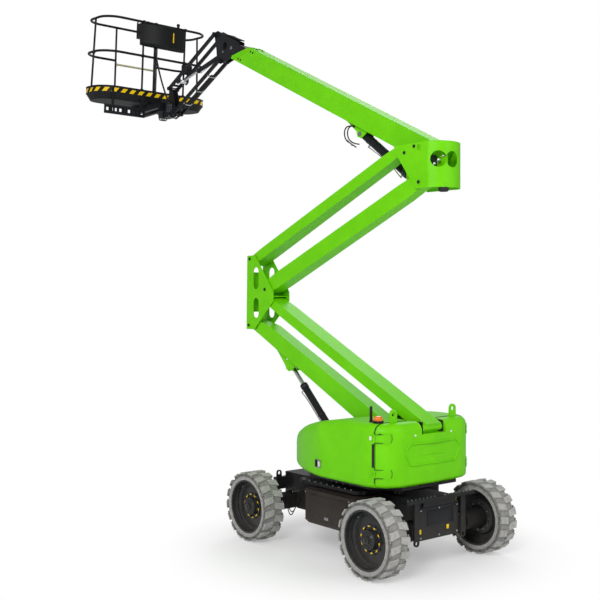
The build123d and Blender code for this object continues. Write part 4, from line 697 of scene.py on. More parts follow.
def dress_turret():
    """Trim on the hoods, which swing, and on the turret."""
    for name, side in HANDS:
        hood, door = "hood_" + name, "door_" + name
        hinge = pivot(door + "_hinge")
        # Grip slot with its rubber edge, between the hinges.
        heights = [1.135 + index * (1.39 - 1.135) / 8 for index in range(9)]
        make("seam_strip_" + name, door, SEAL,
             patch([[beside(hood, side, hinge.x + dx, z) for dx in (0.009, 0.017, 0.025, 0.032)]
                    for z in heights], 0.0016))
        # Latch: a pale plate with a black pull and a label.
        at = seated(beside(hood, side, -0.02, 1.066))
        make("latch_plate_" + name, door, ZINC, box((0.096, 0.13, 0.006), at @ move((0, 0, 0.002)), 0.0025))
        make("latch_pull_" + name, door, ABS,
             box((0.082, 0.056, 0.004), at @ move((0, 0.032 * side, 0.0055)), 0.0015),
             box((0.06, 0.018, 0.012), at @ move((0, 0.034 * side, 0.010)), 0.003))
        make("latch_label_" + name, door, LABEL,
             box((0.06, 0.04, 0.003), at @ move((0, -0.03 * side, 0.0055)), 0.001),
             box((0.042, 0.026, 0.004), seated(beside(hood, side, -0.89, 1.452)) @ move((0, 0, 0.0015)), 0.0015))
        # Hinge bolts on the tail.
        make("hinge_bolts_" + name, "turret", GREEN,
             [drum(0.008, 0.004, seated(beside(TAIL, side, hinge.x + dx, z + dz), 0.0015), 20, 0.0015)
              for z in HINGE_HEIGHTS for dx in (-0.035, -0.095) for dz in (-0.026, 0.026)])
        # Black rubber in the seam between hood and tail, over the top and down the side.
        centre = Vector((-0.9225, side * 0.36, 1.25))
        line = []
        for index in range(25):
            angle = radians(-38 + index * 148 / 24)
            way = Vector((0, side * cos(angle), sin(angle)))
            point, normal = skin(hood, centre + way * 1.5, -way)
            line.append(point + normal * 0.0005)
        thin = {"finish": SEAL, "order": 2, "resolution": 3, "sides": 2}
        tube("seam_rubber_" + name, door, 0.0042, line, **thin)
        # Painted shade: thin black lines round each hinge leaf on the tail, standing in for the shade at the proud
        # leaf's edges.
        for index, z in enumerate(HINGE_HEIGHTS):
            tube(f"hinge_gap_{name}_{index}", "turret", 0.0035,
                 [beside(TAIL, side, x, z + dz)[0] for x, dz in (
                     (-0.938, 0.045), (-1.0, 0.045), (-1.058, 0.045), (-1.062, 0.0), (-1.058, -0.045),
                     (-1.0, -0.045), (-0.938, -0.045))], **thin)
    # Plugs on top of the tail and rivets at its back.
    make("tail_plugs", "turret", SEAL,
         [drum(0.013, 0.006, seated(skin(TAIL, (-0.976, y, 2.2), (0, 0, -1)), 0.002), 24, 0.002)
          for y in (0.688, -0.688)])
    make("tail_rivets", "turret", LABEL,
         [drum(0.012, 0.006, seated(skin(TAIL, (-2.0, y, 1.466), X), 0.002), 24, 0.002) for y in (-0.286, 0.286)])
    # Blank sign field: a raised bead that follows the tail round its corners.
    for name, end, middle in (("upper", 1.31, 1.372), ("lower", 1.262, 1.142)):
        points = []
        for index in range(41):
            angle = radians(152 + index * (208 - 152) / 40)
            z = end + (middle - end) * min(1.0, min(index, 40 - index) / 3.0)
            way = Vector((cos(angle), sin(angle), 0))
            point, normal = skin(TAIL, Vector((-0.3, 0.0, z)) + way * 2.5, -way)
            if abs(point.y) < 0.40:
                point.x = min(point.x, -1.13 + abs(point.y) * 0.0583)
            points.append(point + normal * 0.001)
        tube("sign_bead_" + name, "turret", 0.0105, points, GREEN, resolution=4, sides=2)
    # Beacon: a black base with a domed, ribbed lens, and a thick stub aerial beside it.
    low, high = span("beacon")
    spot = move(Vector(((low.x + high.x) / 2, (low.y + high.y) / 2, 0)) + Vector((0, 0, high.z - 0.064)))
    make("beacon_base", "door_left", ABS,
         turned(((0.0605, -0.012), (0.0605, 0.02), (0.0575, 0.027), (0.0515, 0.031), (0.049, 0.031)), spot))
    make("beacon_lens", "door_left", AMBER,
         turned(((0.0495, 0.030), (0.0495, 0.046), (0.047, 0.058), (0.040, 0.067), (0.026, 0.073),
                 (0.010, 0.0745), (0.0, 0.0748)), spot),
         [box((0.003, 0.004, 0.016), spot @ rotated(a) @ move((0.0495, 0, 0.04)), 0.0008) for a in around(20)])
    foot, _ = skin("hood_left", (-0.765, 0.62, 2.4), (0, 0, -1))
    make("stub_aerial", "door_left", RUBBER,
         turned(((0.022, -0.004), (0.022, 0.01), (0.0165, 0.016), (0.0155, 0.155), (0.014, 0.168),
                 (0.008, 0.174), (0.0, 0.175)), move(foot)))
    # Ears above the uprights, each with its bolt, and keepers on the pins below.
    ear = [(-0.70, 1.50), (-0.58, 1.42), (-0.58, 1.60)]
    ear += [(-0.64 + 0.058 * cos(radians(v)), 1.628 + 0.058 * sin(radians(v))) for v in range(0, 181, 15)]
    ear += [(-0.70, 1.60)]
    pins = [pivot(joint) for joint in ("riser_lift", "lower_guide_turn", "riser_cylinder_turn")]
    for name, side in HANDS:
        make("mount_ear_" + name, "turret", GREEN, slab(ear, side * 0.152, side * 0.168, 0.002))
        make("mount_bolts_" + name, "turret", SEAL,
             drum(0.018, 0.008, place((-0.64, side * 0.172, 1.632), (0, side, 0)), 28, 0.002),
             [pin_keeper((pin.x, side * 0.1755, pin.z), side, 1.2) for pin in pins])
    # Slew motor under the tail and the hoses that climb from the turret into the risers.
    make("slew_motor", "turret", BLACK, box((0.16, 0.24, 0.055), move((-0.86, -0.02, 0.842)), 0.01),
         drum(0.055, 0.07, place((-0.93, 0.36, 0.85), Z), 32, 0.006))
    for index in range(4):
        tube(f"turret_hose_{index}", "turret", 0.009,
             [(x, -0.06 + 0.028 * index, z) for x, z in (
                 (0.10, 0.905), (0.08, 0.99), (-0.02, 1.02), (-0.16, 1.05), (-0.25, 1.12), (-0.33, 1.21))])


class LIFT_OT_turret(bpy.types.Operator):
    """Seam strips, latches, hinge bolts, beacon, sign outline and the riser mounts on the turret"""
    bl_idname = "lift.turret"
    bl_label = "Turret"

    def execute(self, context):
        dress_turret()
        return {"FINISHED"}


# ---------------------------------------------------------------- risers and knuckles
def dress_cylinder(name, lean, glands, sides, edge, rings, wire, nuts, nut_out, nut_size, radius, pipe):
    """Gland collars, rod seal rings, two fittings and a bright pipe on a cylinder's barrel.
    The fittings lean out of it by shares of Y and of the normal's far side; distances run from its foot."""
    foot, body = pivot(name + "_cylinder_turn"), name + "_barrel"
    along, above = slide_axes(name + "_cylinder_slide")
    out = Vector((0, lean[0], 0)) - above * lean[1]
    make(name + "_gland", body, CHARCOAL,
         [drum(size, length, place(foot + along * at, along), sides, edge) for at, length, size in glands])
    make(name + "_fittings", body, ZINC,
         [ring(glands[0][2], wire, place(foot + along * at, along), sides) for at in rings],
         [fitting(foot + along * at + out * nut_out, out, nut_size) for at in nuts])
    tube(name + "_pipe", body, radius, [foot + along * a + out * b for a, b in pipe], CHROME)


def dress_risers(scene):
    """Trim on the knuckles, the riser cylinder and the lower link."""
    bolt_size = scene.lift_sizes.bolt / 0.024
    # Dark bolts with keepers over the pins that show on the knuckles' plates.
    for node, joints in (("lower_knuckle", ("lower_knuckle_level", "upper_riser_turn", "upper_strut_turn")),
                         ("upper_knuckle", ("upper_knuckle_level",))):
        low, high = span(node + "_pins")
        for name, side, face in (("near", 1, high.y), ("far", -1, low.y)):
            make(f"{node}_bolts_{name}", node, SEAL,
                 [pin_keeper((pin.x, face, pin.z), side, bolt_size) for pin in map(pivot, joints)])
    # Riser cylinder: gland, clamp and a bright pipe along the barrel.
    dress_cylinder("riser", (0.8, 0.6), ((1.098, 0.062, 0.0515), (0.15, 0.03, 0.0495), (0.62, 0.022, 0.0485)),
                   48, 0.004, (1.122, 1.094, 1.075), 0.0012, (1.04, 0.17), 0.044, 0.02, 0.0075,
                   ((1.04, 0.070), (1.02, 0.074), (0.95, 0.058), (0.6, 0.057), (0.28, 0.058), (0.19, 0.074),
                    (0.17, 0.070)))
    # Grease nipples by the lower main link's pins, on the near face.
    spots = [in_plane(pivot("riser_lift"), RISER_ANGLE, a, 0.03) for a in (0.11, 0.15, 2.97, 3.01)]
    make("grease_nipples", "lower_riser", ZINC,
         [bolt(*beside("lower_riser_link", 1, spot.x, spot.z), 0.010) for spot in spots])


class LIFT_OT_risers(bpy.types.Operator):
    """Pin bolts, cylinder gland, pipe and grease nipples on the risers and knuckles"""
    bl_idname = "lift.risers"
    bl_label = "Risers"

    def execute(self, context):
        dress_risers(context.scene)
        return {"FINISHED"}


# ---------------------------------------------------------------- upper knuckle and main boom
BOOM_HALF = 0.115
BOOM_TOP, BOOM_BOTTOM = 0.078, -0.185
TRAY_MIDDLE = 2.05


def dress_boom(scene):
    """Trim on the upper knuckle, the main boom and its cylinder."""
    hose_radius = scene.lift_sizes.hose
    origin = pivot("boom_lift")
    middle_y = pivot("jib_lift").y
    tilt = rotated(-BOOM_ANGLE, "Y")

    def on_boom(along, above, y):
        return in_plane(origin, BOOM_ANGLE, along, above, y)

    def boom_box(size, along, above, y, edge):
        return box(size, move(on_boom(along, above, y)) @ tilt, edge)

    # Pin bolts on the bent plate's near face.
    make("knuckle_plate_bolts", "upper_knuckle", SEAL,
         [drum(0.019, 0.010, seated(beside("upper_knuckle", 1, x, z), 0.004), 28, 0.002)
          for x, z in ((-0.951, 4.655), (-0.80, 4.30), (-0.80, 4.60))])
    # A valve and its fittings, seen through the big hole in the back.
    make("valve_fittings", "upper_knuckle", ZINC,
         [fitting((-1.15 - 0.02 * index, 0.03 - 0.05 * index, 4.44 + 0.045 * index), (-0.75, 0.62, 0.1), 0.034)
          for index in range(3)])
    make("valve_block", "upper_knuckle", CASTING, box((0.14, 0.20, 0.16), move((-1.05, -0.03, 4.47)), 0.006))
    # Collar: a double lip round the slanted mouth of the outer boom.
    lips = []
    for inset, width, proud in ((0.004, 0.016, 0.004), (0.052, 0.022, 0.0045)):
        ends = ((3.975 - inset, BOOM_TOP, proud), (4.33 - inset, BOOM_BOTTOM, -proud))
        (top, above, _), (bottom, below, _) = ends
        outline = [on_boom(a, b, 0.0) for a, b in (
            (top - width, above + proud), (top, above + proud), (bottom, below - proud),
            (bottom - width, below - proud))]
        lips += [slab([(p.x, p.z) for p in outline], middle_y + side * (BOOM_HALF - 0.001),
                      middle_y + side * (BOOM_HALF + proud), 0.0012) for side in SIDES]
        lips += [boom_box((width, 2 * (BOOM_HALF + proud), proud), at - width / 2, level + lift / 2, middle_y,
                          0.0012) for at, level, lift in ends]
    make("mouth_collar", "boom", GREEN, lips)
    # Pad screws beside the mouth.
    make("pad_screws", "boom", SEAL,
         [bolt(on_boom(a, b, middle_y + side * BOOM_HALF), (0, side, 0), 0.02) for side in SIDES
          for a, b in ((3.84, 0.03), (3.90, 0.03), (4.09, -0.14), (4.15, -0.14))],
         [bolt(on_boom(a, BOOM_TOP, middle_y) + Vector((0, y, 0)), (-sin(BOOM_ANGLE), 0, cos(BOOM_ANGLE)), 0.02)
          for a in (3.86, 3.94) for y in (-0.05, 0.05)])
    # Amber side markers near the mouth.
    make("side_markers", "boom", AMBER,
         [turned(((0.0, 0.008), (0.007, 0.0075), (0.0105, 0.004), (0.0115, 0.0), (0.0115, -0.002)),
                 seated(beside("main_boom", 1, x, z)), 28) for x, z in ((2.775, 6.385), (2.55, 6.478))])
    # Lift cylinder: gland on the barrel, bright rod gland rings, feed pipe and its looped hoses.
    dress_cylinder("lift", (0.0, -1.0), ((0.905, 0.07, 0.0595), (0.12, 0.03, 0.0575)),
                   48, 0.004, (0.932, 0.9, 0.885), 0.0012, (0.86, 0.16), 0.054, 0.026, 0.007,
                   ((0.86, 0.085), (0.84, 0.094), (0.7, 0.066), (0.4, 0.064), (0.19, 0.085), (0.16, 0.082)))
    for index, (y, out) in enumerate(((-0.105, 0.0), (-0.085, 0.035))):
        tube(f"eye_loop_{index}", "boom", 0.008,
             [(0.30, y, 5.075), (0.34 + out, y, 5.10), (0.42 + out, y, 5.08), (0.44 + out, y, 5.00),
              (0.40 + out, y, 4.92), (0.32 + out, y - 0.02, 4.87), (0.26 + out, y - 0.04, 4.86 - out)])
    make("eye_loop_fittings", "boom", ZINC,
         [drum(0.0125, 0.03, place((x, -0.105, z), (0.8, 0, 0.6)), 20, 0.002)
          for x, z in ((0.43, 4.915), (0.35, 4.86))],
         fitting((0.33, -0.105, 5.09), (0.9, 0, 0.4), 0.026))
    # The drum under the knuckle's corner.
    make("knuckle_drum", "upper_knuckle", SEAL,
         turned(((0.0, -0.047), (0.045, -0.045), (0.056, -0.036), (0.058, -0.020), (0.058, 0.0), (0.030, 0.004)),
                move((-1.245, -0.02, 4.18))))
    # Hose tray on the far side of the boom, with its hoses.
    far = middle_y - BOOM_HALF
    make("hose_tray", "boom", CHARCOAL,
         [boom_box((2.9, 0.066, 0.005), TRAY_MIDDLE, above, far - 0.034, 0.0015) for above in (-0.1125, -0.0025)],
         boom_box((2.9, 0.004, 0.115), TRAY_MIDDLE, -0.0575, far - 0.066, 0.0015),
         [boom_box((0.05, 0.008, 0.16), a, -0.0575, far - 0.004, 0.002) for a in (0.9, 1.6, 2.3, 3.0)])
    for index in range(4):
        tube(f"tray_hose_{index}", "boom", hose_radius * 0.9,
             [on_boom(a, -0.094 + 0.024 * index, far - out) for a, out in (
                 (0.40, 0.018), (0.52, 0.030), (0.7, 0.03), (2.0, 0.03), (3.4, 0.03), (3.56, 0.03))])
    # Weld seams along the boom's edges.
    make("boom_welds", "boom", GREEN,
         [drum(0.0022, 3.7, place(on_boom(1.95, b, middle_y + side * BOOM_HALF),
                                  (cos(BOOM_ANGLE), 0, sin(BOOM_ANGLE))), 10)
          for side in SIDES for b in (0.0705, -0.1775)])


class LIFT_OT_boom(bpy.types.Operator):
    """Mouth collar, cylinder gland and pipe, hoses, tray and side markers on the main boom"""
    bl_idname = "lift.boom"
    bl_label = "Boom"

    def execute(self, context):
        dress_boom(context.scene)
        return {"FINISHED"}


# ---------------------------------------------------------------- nose, jib and head
def dress_jib(scene):
    """Trim on the nose, the jib, its head and the cage bracket."""
    radius = scene.lift_sizes.hose
    low_pin = pivot("jib_lift")
    mid = low_pin.y
    # Round caps over the jib's pins, on both sides.
    corner = span("head_pins")[1]
    for body, node, pins in (("nose", "nose_pins", (low_pin, pivot("jib_upper_turn"))),
                             ("jib_head", "head_pins", (pivot("jib_head_level"),
                                                        Vector((corner.x - 0.028, mid, corner.z - 0.028))))):
        low, high = span(node)
        reach = (high.y - low.y) / 2
        caps = [(place((pin.x, mid + side * reach, pin.z), (0, side, 0)), side) for pin in pins for side in SIDES]
        make(body + "_pin_caps", body, CHARCOAL,
             [(turned(((0.030, -0.005), (0.031, 0.004), (0.028, 0.010), (0.014, 0.012), (0.0, 0.0125)), at, 36),
               bolt(at @ Vector((0, 0, 0.0115)), (0, side, 0), 0.018)) for at, side in caps])
    # Jib cylinder: gland, rod wiper ring, its two fittings and the pipe between them.
    dress_cylinder("jib", (0.0, 1.0), ((0.735, 0.05, 0.0375), (0.10, 0.024, 0.0355)),
                   40, 0.003, (0.75,), 0.001, (0.69, 0.13), 0.033, 0.02, 0.005,
                   ((0.69, 0.058), (0.67, 0.062), (0.5, 0.043), (0.25, 0.043), (0.14, 0.06)))
    # Hoses along the inside of the lower bars, tied every so often.
    for index in range(4):
        tube(f"jib_hose_{index}", "jib_lower", radius * 0.85,
             [in_plane(low_pin, JIB_ANGLE, a, b, mid + 0.034 - 0.0225 * index) for a, b in (
                 (0.30, -0.046), (0.42, -0.044), (0.7, -0.043), (1.0, -0.044), (1.16, -0.046))])
    ties = [move(in_plane(low_pin, JIB_ANGLE, a, -0.044, mid)) @ rotated(-JIB_ANGLE, "Y") for a in (0.34, 0.72, 1.08)]
    make("jib_clamps", "jib_lower", ZINC,
         [(box((0.022, 0.168, 0.004), tie @ move((0, 0, 0.012)), 0.0015),
           box((0.022, 0.11, 0.004), tie @ move((0, 0, -0.012)), 0.0015)) for tie in ties])
    # Hoses bent over the nose, from the boom's end to its plates.
    nose = pivot("nose_level")
    for index in range(5):
        tube(f"nose_hose_{index}", "nose", radius * 0.8,
             [(nose.x + a, mid - 0.034 + 0.017 * index, nose.z + b) for a, b in (
                 (-0.16, 0.085), (-0.10, 0.112), (0.0, 0.155), (0.10, 0.205), (0.20, 0.245), (0.30, 0.235))])
    make("nose_clamps", "nose", CHARCOAL,
         [box((0.03, 0.115, 0.006), move((nose.x + a, mid, nose.z + b)) @ rotated(-0.45, "Y"), 0.002)
          for a, b in ((-0.085, 0.118), (0.10, 0.21))])
    # Rotator: ribbed body, and the valve blocks beside it with bolts and fittings.
    rotator = pivot("cage_rotate")
    make("rotator_ribs", "jib_head", CHARCOAL,
         [ring(0.080, 0.0045, place((rotator.x, rotator.y, z)), 56, 8) for z in (5.925, 5.965, 6.035, 6.075)])
    make("rotator_valve", "jib_head", CASTING,
         box((0.11, 0.042, 0.13), move((4.70, mid + 0.072, 6.0)), 0.005),
         box((0.07, 0.04, 0.08), move((4.64, mid - 0.073, 5.99)), 0.005))
    make("rotator_fittings", "jib_head", ZINC,
         [bolt((4.70 + dx, mid + 0.092, 6.0 + dz), Y, 0.012, 0.004, washer=False)
          for dz in (0.045, -0.045) for dx in (-0.03, 0.03)],
         [fitting((4.66, mid + 0.072 + dz * 0.1, 6.0 + dz), (-1, 0, 0), 0.02) for dz in (0.03, -0.02)])
    for index, (y, sag) in enumerate(((-0.036, 0.07), (-0.012, 0.11), (0.012, 0.13), (0.036, 0.09))):
        tube(f"head_loop_{index}", "jib_head", radius * 0.8,
             [(x, mid + y, z) for x, z in (
                 (4.655, 5.975), (4.60, 5.97), (4.545, 5.95), (4.53, 5.95 - sag * 0.6), (4.565, 5.95 - sag),
                 (4.63, 5.95 - sag), (4.675, 5.90), (4.67, 5.93))])
    # A drum and a valve under the cage bracket, with their hoses.
    make("bracket_valve", "cage", CASTING, drum(0.040, 0.12, place((5.02, mid, 5.925), Y), 36, 0.008),
         box((0.16, 0.12, 0.055), move((5.03, mid, 5.985)), 0.006))
    for index in range(3):
        tube(f"bracket_hose_{index}", "cage", radius * 0.75,
             [(x, mid - 0.035 + 0.035 * index, z) for x, z in (
                 (4.96, 5.975), (4.93, 5.95), (4.925, 5.90), (4.96, 5.862), (5.02, 5.852), (5.075, 5.87),
                 (5.10, 5.93), (5.10, 6.02))])


class LIFT_OT_jib(bpy.types.Operator):
    """Pin caps, glands, hoses, valve block and rotator details on the nose, jib and head"""
    bl_idname = "lift.jib"
    bl_label = "Jib"

    def execute(self, context):
        dress_jib(context.scene)
        return {"FINISHED"}


# ---------------------------------------------------------------- cage
CAGE_PITCH = radians(-4.0)
CAGE_ORIGIN = Vector((5.565, -0.19, 6.37))
RIM_HALF_X, RIM_HALF_Y, RIM_CORNER = 0.39, 1.02, 0.33
RIM_STRAIGHT = RIM_HALF_Y - RIM_CORNER
RIM_ARC = RIM_CORNER * pi / 2
RIM_END = 2 * (RIM_HALF_X - RIM_CORNER)
STEP_SHIFT = 0.19


def in_cage(x, y, z):
    """A place in the cage's own frame, with its floor's top centre as the origin."""
    return move(CAGE_ORIGIN) @ rotated(CAGE_PITCH, "Y") @ move((x, y, z))


def rim_point(travel):
    """A place and its outward direction on the rim's outline, by distance from the middle of the console side."""
    side = 1 if travel >= 0 else -1
    travel = abs(travel)
    if travel <= RIM_STRAIGHT:
        return Vector((-RIM_HALF_X, side * travel, 0)), Vector((-1, 0, 0))
    travel -= RIM_STRAIGHT
    if travel <= RIM_ARC:
        angle = travel / RIM_CORNER
        way = Vector((-cos(angle), side * sin(angle), 0))
        return Vector((-RIM_HALF_X + RIM_CORNER, side * RIM_STRAIGHT, 0)) + way * RIM_CORNER, way
    travel -= RIM_ARC
    if travel <= RIM_END:
        return Vector((-RIM_HALF_X + RIM_CORNER + travel, side * RIM_HALF_Y, 0)), Vector((0, side, 0))
    angle = min((travel - RIM_END) / RIM_CORNER, pi / 2)
    way = Vector((sin(angle), side * cos(angle), 0))
    return Vector((RIM_HALF_X - RIM_CORNER, side * RIM_STRAIGHT, 0)) + way * RIM_CORNER, way


def rim_section(travel, total, z, size, corners=10):
    """A ring of points round the rolled edge, at a distance along the whole rim."""
    side, distance = (1, travel) if travel <= total / 2 else (-1, total - travel)
    reach = RIM_STRAIGHT + RIM_CORNER * pi + RIM_END
    if distance > reach:
        spot, way = Vector((RIM_HALF_X, side * (RIM_STRAIGHT - (distance - reach)), 0)), X
    else:
        spot, way = rim_point(side * distance)
    at = in_cage(spot.x, spot.y, z)
    normal, up = at.to_3x3() @ way, at.to_3x3() @ Z
    return [at.translation + normal * size * cos(a) + up * size * sin(a) for a in around(corners)]


def dress_cage(scene):
    """Trim in the cage's own tilted frame."""
    stripe = scene.lift_sizes.stripe
    cage_axes = in_cage(0, 0, 0).to_3x3()

    # Slanted stripes of warning tape round the rim.
    def stripe_rows(middle):
        rows = []
        for step in range(4):
            shift = 0.052 * (step / 3 - 0.5)
            row = []
            for column in range(5):
                spot, way = rim_point(middle + shift + stripe * (column / 4 - 0.5))
                at = in_cage(spot.x, spot.y, -0.030 - 0.062 * step / 3)
                row.append((at.translation, at.to_3x3() @ way))
            rows.append(row)
        return rows

    make("warning_stripes", "cage", YELLOW,
         [patch(stripe_rows(index * 0.152 + 0.01), 0.0012) for index in range(-16, 17)])
    # Rim lip: a rolled edge over the sill, and a lower bead.
    total = 2 * (RIM_STRAIGHT + 2 * RIM_ARC + RIM_END / 2) + 2 * RIM_STRAIGHT
    for name, z, size in (("upper", -0.004, 0.008), ("lower", -0.1025, 0.006)):
        make("rim_lip_" + name, "cage", CHARCOAL,
             hoop([rim_section(total * index / 120, total, z, size) for index in range(120)]))
    # Feet under the posts, and clamps where rails and posts cross.
    posts = ((-0.367, 0.29), (-0.367, 0.068), (-0.367, -0.486), (0.367, 0.392), (0.367, -0.382))
    make("post_feet", "cage", RAIL,
         [(turned(((0.030, 0.0), (0.030, 0.008), (0.026, 0.012), (0.0195, 0.014)), in_cage(x, y, 0.0), 32),
           [box((0.048, 0.042, 0.05), in_cage(x, y, z), 0.008) for z in (0.545, 1.085)
            if abs(y) > 0.4 or x < 0]) for x, y in posts],
         [box((0.042, 0.046, 0.05), in_cage(0.0, side * 0.9755, 0.545), 0.008) for side in SIDES])
    make("post_screws", "cage", ZINC,
         [bolt(in_cage(x, y + way * 0.0245, 0.0125).translation, cage_axes @ Z, 0.008, 0.004, washer=False)
          for x, y in posts for way in (-1, 1)],
         [bolt(in_cage(0.0, side * 0.999, 0.545).translation, (0, side, 0), 0.014, 0.006) for side in SIDES])
    # Console: its back panel and top, joysticks under their boots, a red stop and switches.
    make("console_panel", "cage", ABS, box((0.012, 0.66, 0.20), in_cage(-0.2525, -0.055, 0.88), 0.005),
         box((0.11, 0.70, 0.014), in_cage(-0.325, -0.055, 1.064), 0.006))
    joystick = ((0.040, 0.0), (0.038, 0.012), (0.030, 0.020), (0.024, 0.034), (0.021, 0.060), (0.027, 0.072),
                (0.029, 0.088), (0.020, 0.100), (0.0, 0.103))
    make("joysticks", "cage", RUBBER,
         [turned([(radius, height * tall) for radius, height in joystick], in_cage(-0.335, y, 1.071), 32)
          for y, tall in ((-0.37, 1.0), (0.20, 0.42))])
    make("stop_button", "cage", "stop_red",
         turned(((0.012, 0.0), (0.012, 0.016), (0.021, 0.018), (0.022, 0.028), (0.016, 0.034), (0.0, 0.035)),
                in_cage(-0.325, -0.06, 1.071), 36))
    switches = [in_cage(-0.325, y, 1.071) for y in (-0.22, -0.18, -0.14, 0.04, 0.08, 0.12)]
    make("console_switches", "cage", ZINC,
         [(drum(0.009, 0.006, at @ move((0, 0, 0.003)), 6),
           drum(0.0035, 0.024, at @ move((0.003, 0, 0.014)) @ rotated(0.3, "Y"), 12, top_radius=0.005))
          for at in switches])
    # Socket box and cable on the boom side, with a blank yellow strip above.
    make("socket_box", "cage", ABS, box((0.07, 0.176, 0.155), in_cage(-0.40, -0.523, 0.435), 0.012),
         box((0.012, 0.15, 0.13), in_cage(-0.439, -0.523, 0.435), 0.005),
         drum(0.032, 0.05, place(in_cage(-0.405, -0.56, 0.335).translation, Z), 28, 0.004))
    make("console_strip", "cage", YELLOW,
         box((0.003, 0.022, 0.16), in_cage(-0.457, -0.215, 0.90) @ rotated(0.16), 0.001))
    tube("cage_cable", "cage", 0.014,
         [(5.150, -0.10, 7.06), (5.120, -0.11, 6.98), (5.112, -0.13, 6.84), (5.10, -0.165, 6.66),
          (5.085, -0.21, 6.48), (5.06, -0.25, 6.33), (5.01, -0.262, 6.22), (4.97, -0.262, 6.175)])
    tube("console_handle", "cage", 0.011,
         [(5.13, 0.150, 7.425), (5.125, 0.205, 7.42), (5.12, 0.222, 7.38), (5.12, 0.222, 7.29),
          (5.125, 0.205, 7.245), (5.13, 0.150, 7.24)], RAIL)
    # Tread plates that narrow the openings of the step bar.
    low, high = span("cage_step")
    middle, length = (low.y + high.y) / 2 + STEP_SHIFT, high.y - low.y
    make("step_tread", "cage", RAIL,
         [box((0.008, length - 0.02, 0.044), in_cage(-0.366, middle, z), 0.002) for z in (-0.419, -0.3265)],
         [box((0.008, 0.036, 0.12), in_cage(-0.366, middle + (index - 4.5) * (length - 0.03) / 9.0, -0.3725),
              0.002) for index in range(10)])


class LIFT_OT_cage(bpy.types.Operator):
    """Warning stripes, post feet, clamps, console controls, socket and step plates on the cage"""
    bl_idname = "lift.cage"
    bl_label = "Cage"

    def execute(self, context):
        dress_cage(context.scene)
        return {"FINISHED"}


# ---------------------------------------------------------------- stage
# name, place, aim, power
LAMPS = (
    ("key_softbox", (-8.0, 12.0, 10.0), (0.8, 0.0, 2.5), 1480.0),
    ("fill_softbox", (-13.0, -3.0, 8.0), (0.0, 0.0, 3.0), 330.0),
    ("rim_softbox", (8.0, -9.0, 10.0), (1.5, 0.0, 3.0), 400.0),
)
LAMP_SIZE = 6.0
WHITE = (1, 1, 1, 1)


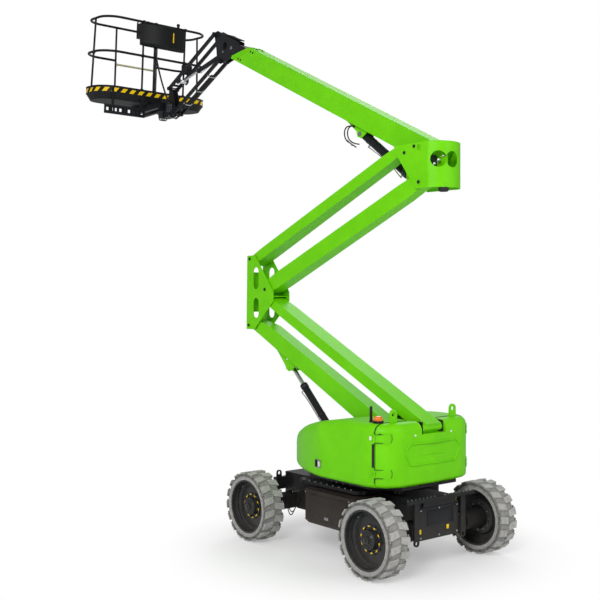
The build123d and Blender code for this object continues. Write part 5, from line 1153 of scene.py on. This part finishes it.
def set_stage(scene):
    """A white studio round the machine."""
    scene.view_settings.view_transform = "Standard"
    bm = bmesh.new()
    bmesh.ops.create_grid(bm, x_segments=1, y_segments=1, size=60.0)
    mesh = bpy.data.meshes.new("floor")
    bm.to_mesh(mesh)
    bm.free()
    floor = add_object("floor", mesh)
    made = Finish("studio_floor", Roughness=0.9, Base_Color=linear("#F2F2F2"))
    # Away from the machine the camera sees an even white, and near it the floor's own soft shade.
    spread = made.node("VectorMath", {"operation": "LENGTH"}, links={0: made.place})
    fade = made.node("MapRange", {"interpolation_type": "SMOOTHSTEP"},
                     {"From Min": 1.2, "From Max": 2.6, "To Min": 0.35, "To Max": 1.0},
                     {"Value": spread.outputs["Value"]})
    seen = made.node("LightPath").outputs["Is Camera Ray"]
    share = made.node("Math", {"operation": "MULTIPLY"}, links={0: fade.outputs["Result"], 1: seen})
    white = made.node("Emission", values={"Color": WHITE, "Strength": 1.0})
    blend = made.node("MixShader", links={0: share.outputs["Value"], 1: made.shader.outputs["BSDF"],
                                          2: white.outputs["Emission"]})
    made.tree.links.new(blend.outputs["Shader"], made.output.inputs["Surface"])
    mesh.materials.append(made.material)

    world = bpy.data.worlds.new("studio")
    scene.world = world
    world.use_nodes = True
    tree = world.node_tree
    tree.nodes.clear()
    seen, shine, light = [add_node(tree, "ShaderNodeBackground", values={"Color": WHITE, "Strength": strength})
                          .outputs["Background"] for strength in (1.0, 0.36, 0.5)]
    path = add_node(tree, "ShaderNodeLightPath").outputs
    # Glossy rays meet a dimmer studio than the camera does, so that paint keeps its colour.
    gloss = add_node(tree, "ShaderNodeMixShader", links={0: path["Is Glossy Ray"], 1: light, 2: shine})
    mix = add_node(tree, "ShaderNodeMixShader", links={0: path["Is Camera Ray"], 1: gloss.outputs["Shader"], 2: seen})
    add_node(tree, "ShaderNodeOutputWorld", links={"Surface": mix.outputs["Shader"]})

    for name, where, towards, power in LAMPS:
        lamp = bpy.data.lights.new(name, "AREA")
        lamp.size = LAMP_SIZE
        lamp.energy = power
        add_object(name, lamp).matrix_world = place(where, Vector(where) - Vector(towards))

    camera = bpy.data.cameras.new("view")
    camera.sensor_width = 36.0
    camera.lens = 57.0
    camera.clip_end = 200.0
    eye = add_object("view", camera)
    eye.location = (-8.38, 7.765, 2.943)
    eye.rotation_euler = (pi / 2, 0.0, radians(-90 - 38.9))
    scene.camera = eye


class LIFT_OT_stage(bpy.types.Operator):
    """Sets the floor, the lamps, the world and the camera"""
    bl_idname = "lift.stage"
    bl_label = "Stage"

    def execute(self, context):
        set_stage(context.scene)
        return {"FINISHED"}


OPERATORS = (LIFT_OT_finishes, LIFT_OT_wheels, LIFT_OT_chassis, LIFT_OT_turret, LIFT_OT_risers, LIFT_OT_boom,
             LIFT_OT_jib, LIFT_OT_cage, LIFT_OT_stage)
ORDER = ("finishes", "wheels", "chassis", "turret", "risers", "boom", "jib", "cage", "stage")


class LIFT_PT_panel(bpy.types.Panel):
    """Lists the steps that dress the frame"""
    bl_idname = "LIFT_PT_panel"
    bl_label = "Boom Lift"
    bl_space_type = "VIEW_3D"
    bl_region_type = "UI"
    bl_category = "Boom Lift"

    def draw(self, context):
        layout = self.layout
        for group in (context.scene.lift_paint, context.scene.lift_sizes):
            for key in group.bl_rna.properties.keys():
                if key not in {"rna_type", "name"}:
                    layout.prop(group, key)
        for operator in OPERATORS:
            layout.operator(operator.bl_idname)


CLASSES = (LiftPaint, LiftSizes) + OPERATORS + (LIFT_PT_panel,)


def register():
    for cls in CLASSES:
        bpy.utils.register_class(cls)
    bpy.types.Scene.lift_paint = bpy.props.PointerProperty(type=LiftPaint)
    bpy.types.Scene.lift_sizes = bpy.props.PointerProperty(type=LiftSizes)


def unregister():
    del bpy.types.Scene.lift_sizes
    del bpy.types.Scene.lift_paint
    for cls in reversed(CLASSES):
        bpy.utils.unregister_class(cls)


def main():
    register()
    for step in ORDER:
        getattr(bpy.ops.lift, step)()


if __name__ == "__main__":
    main()
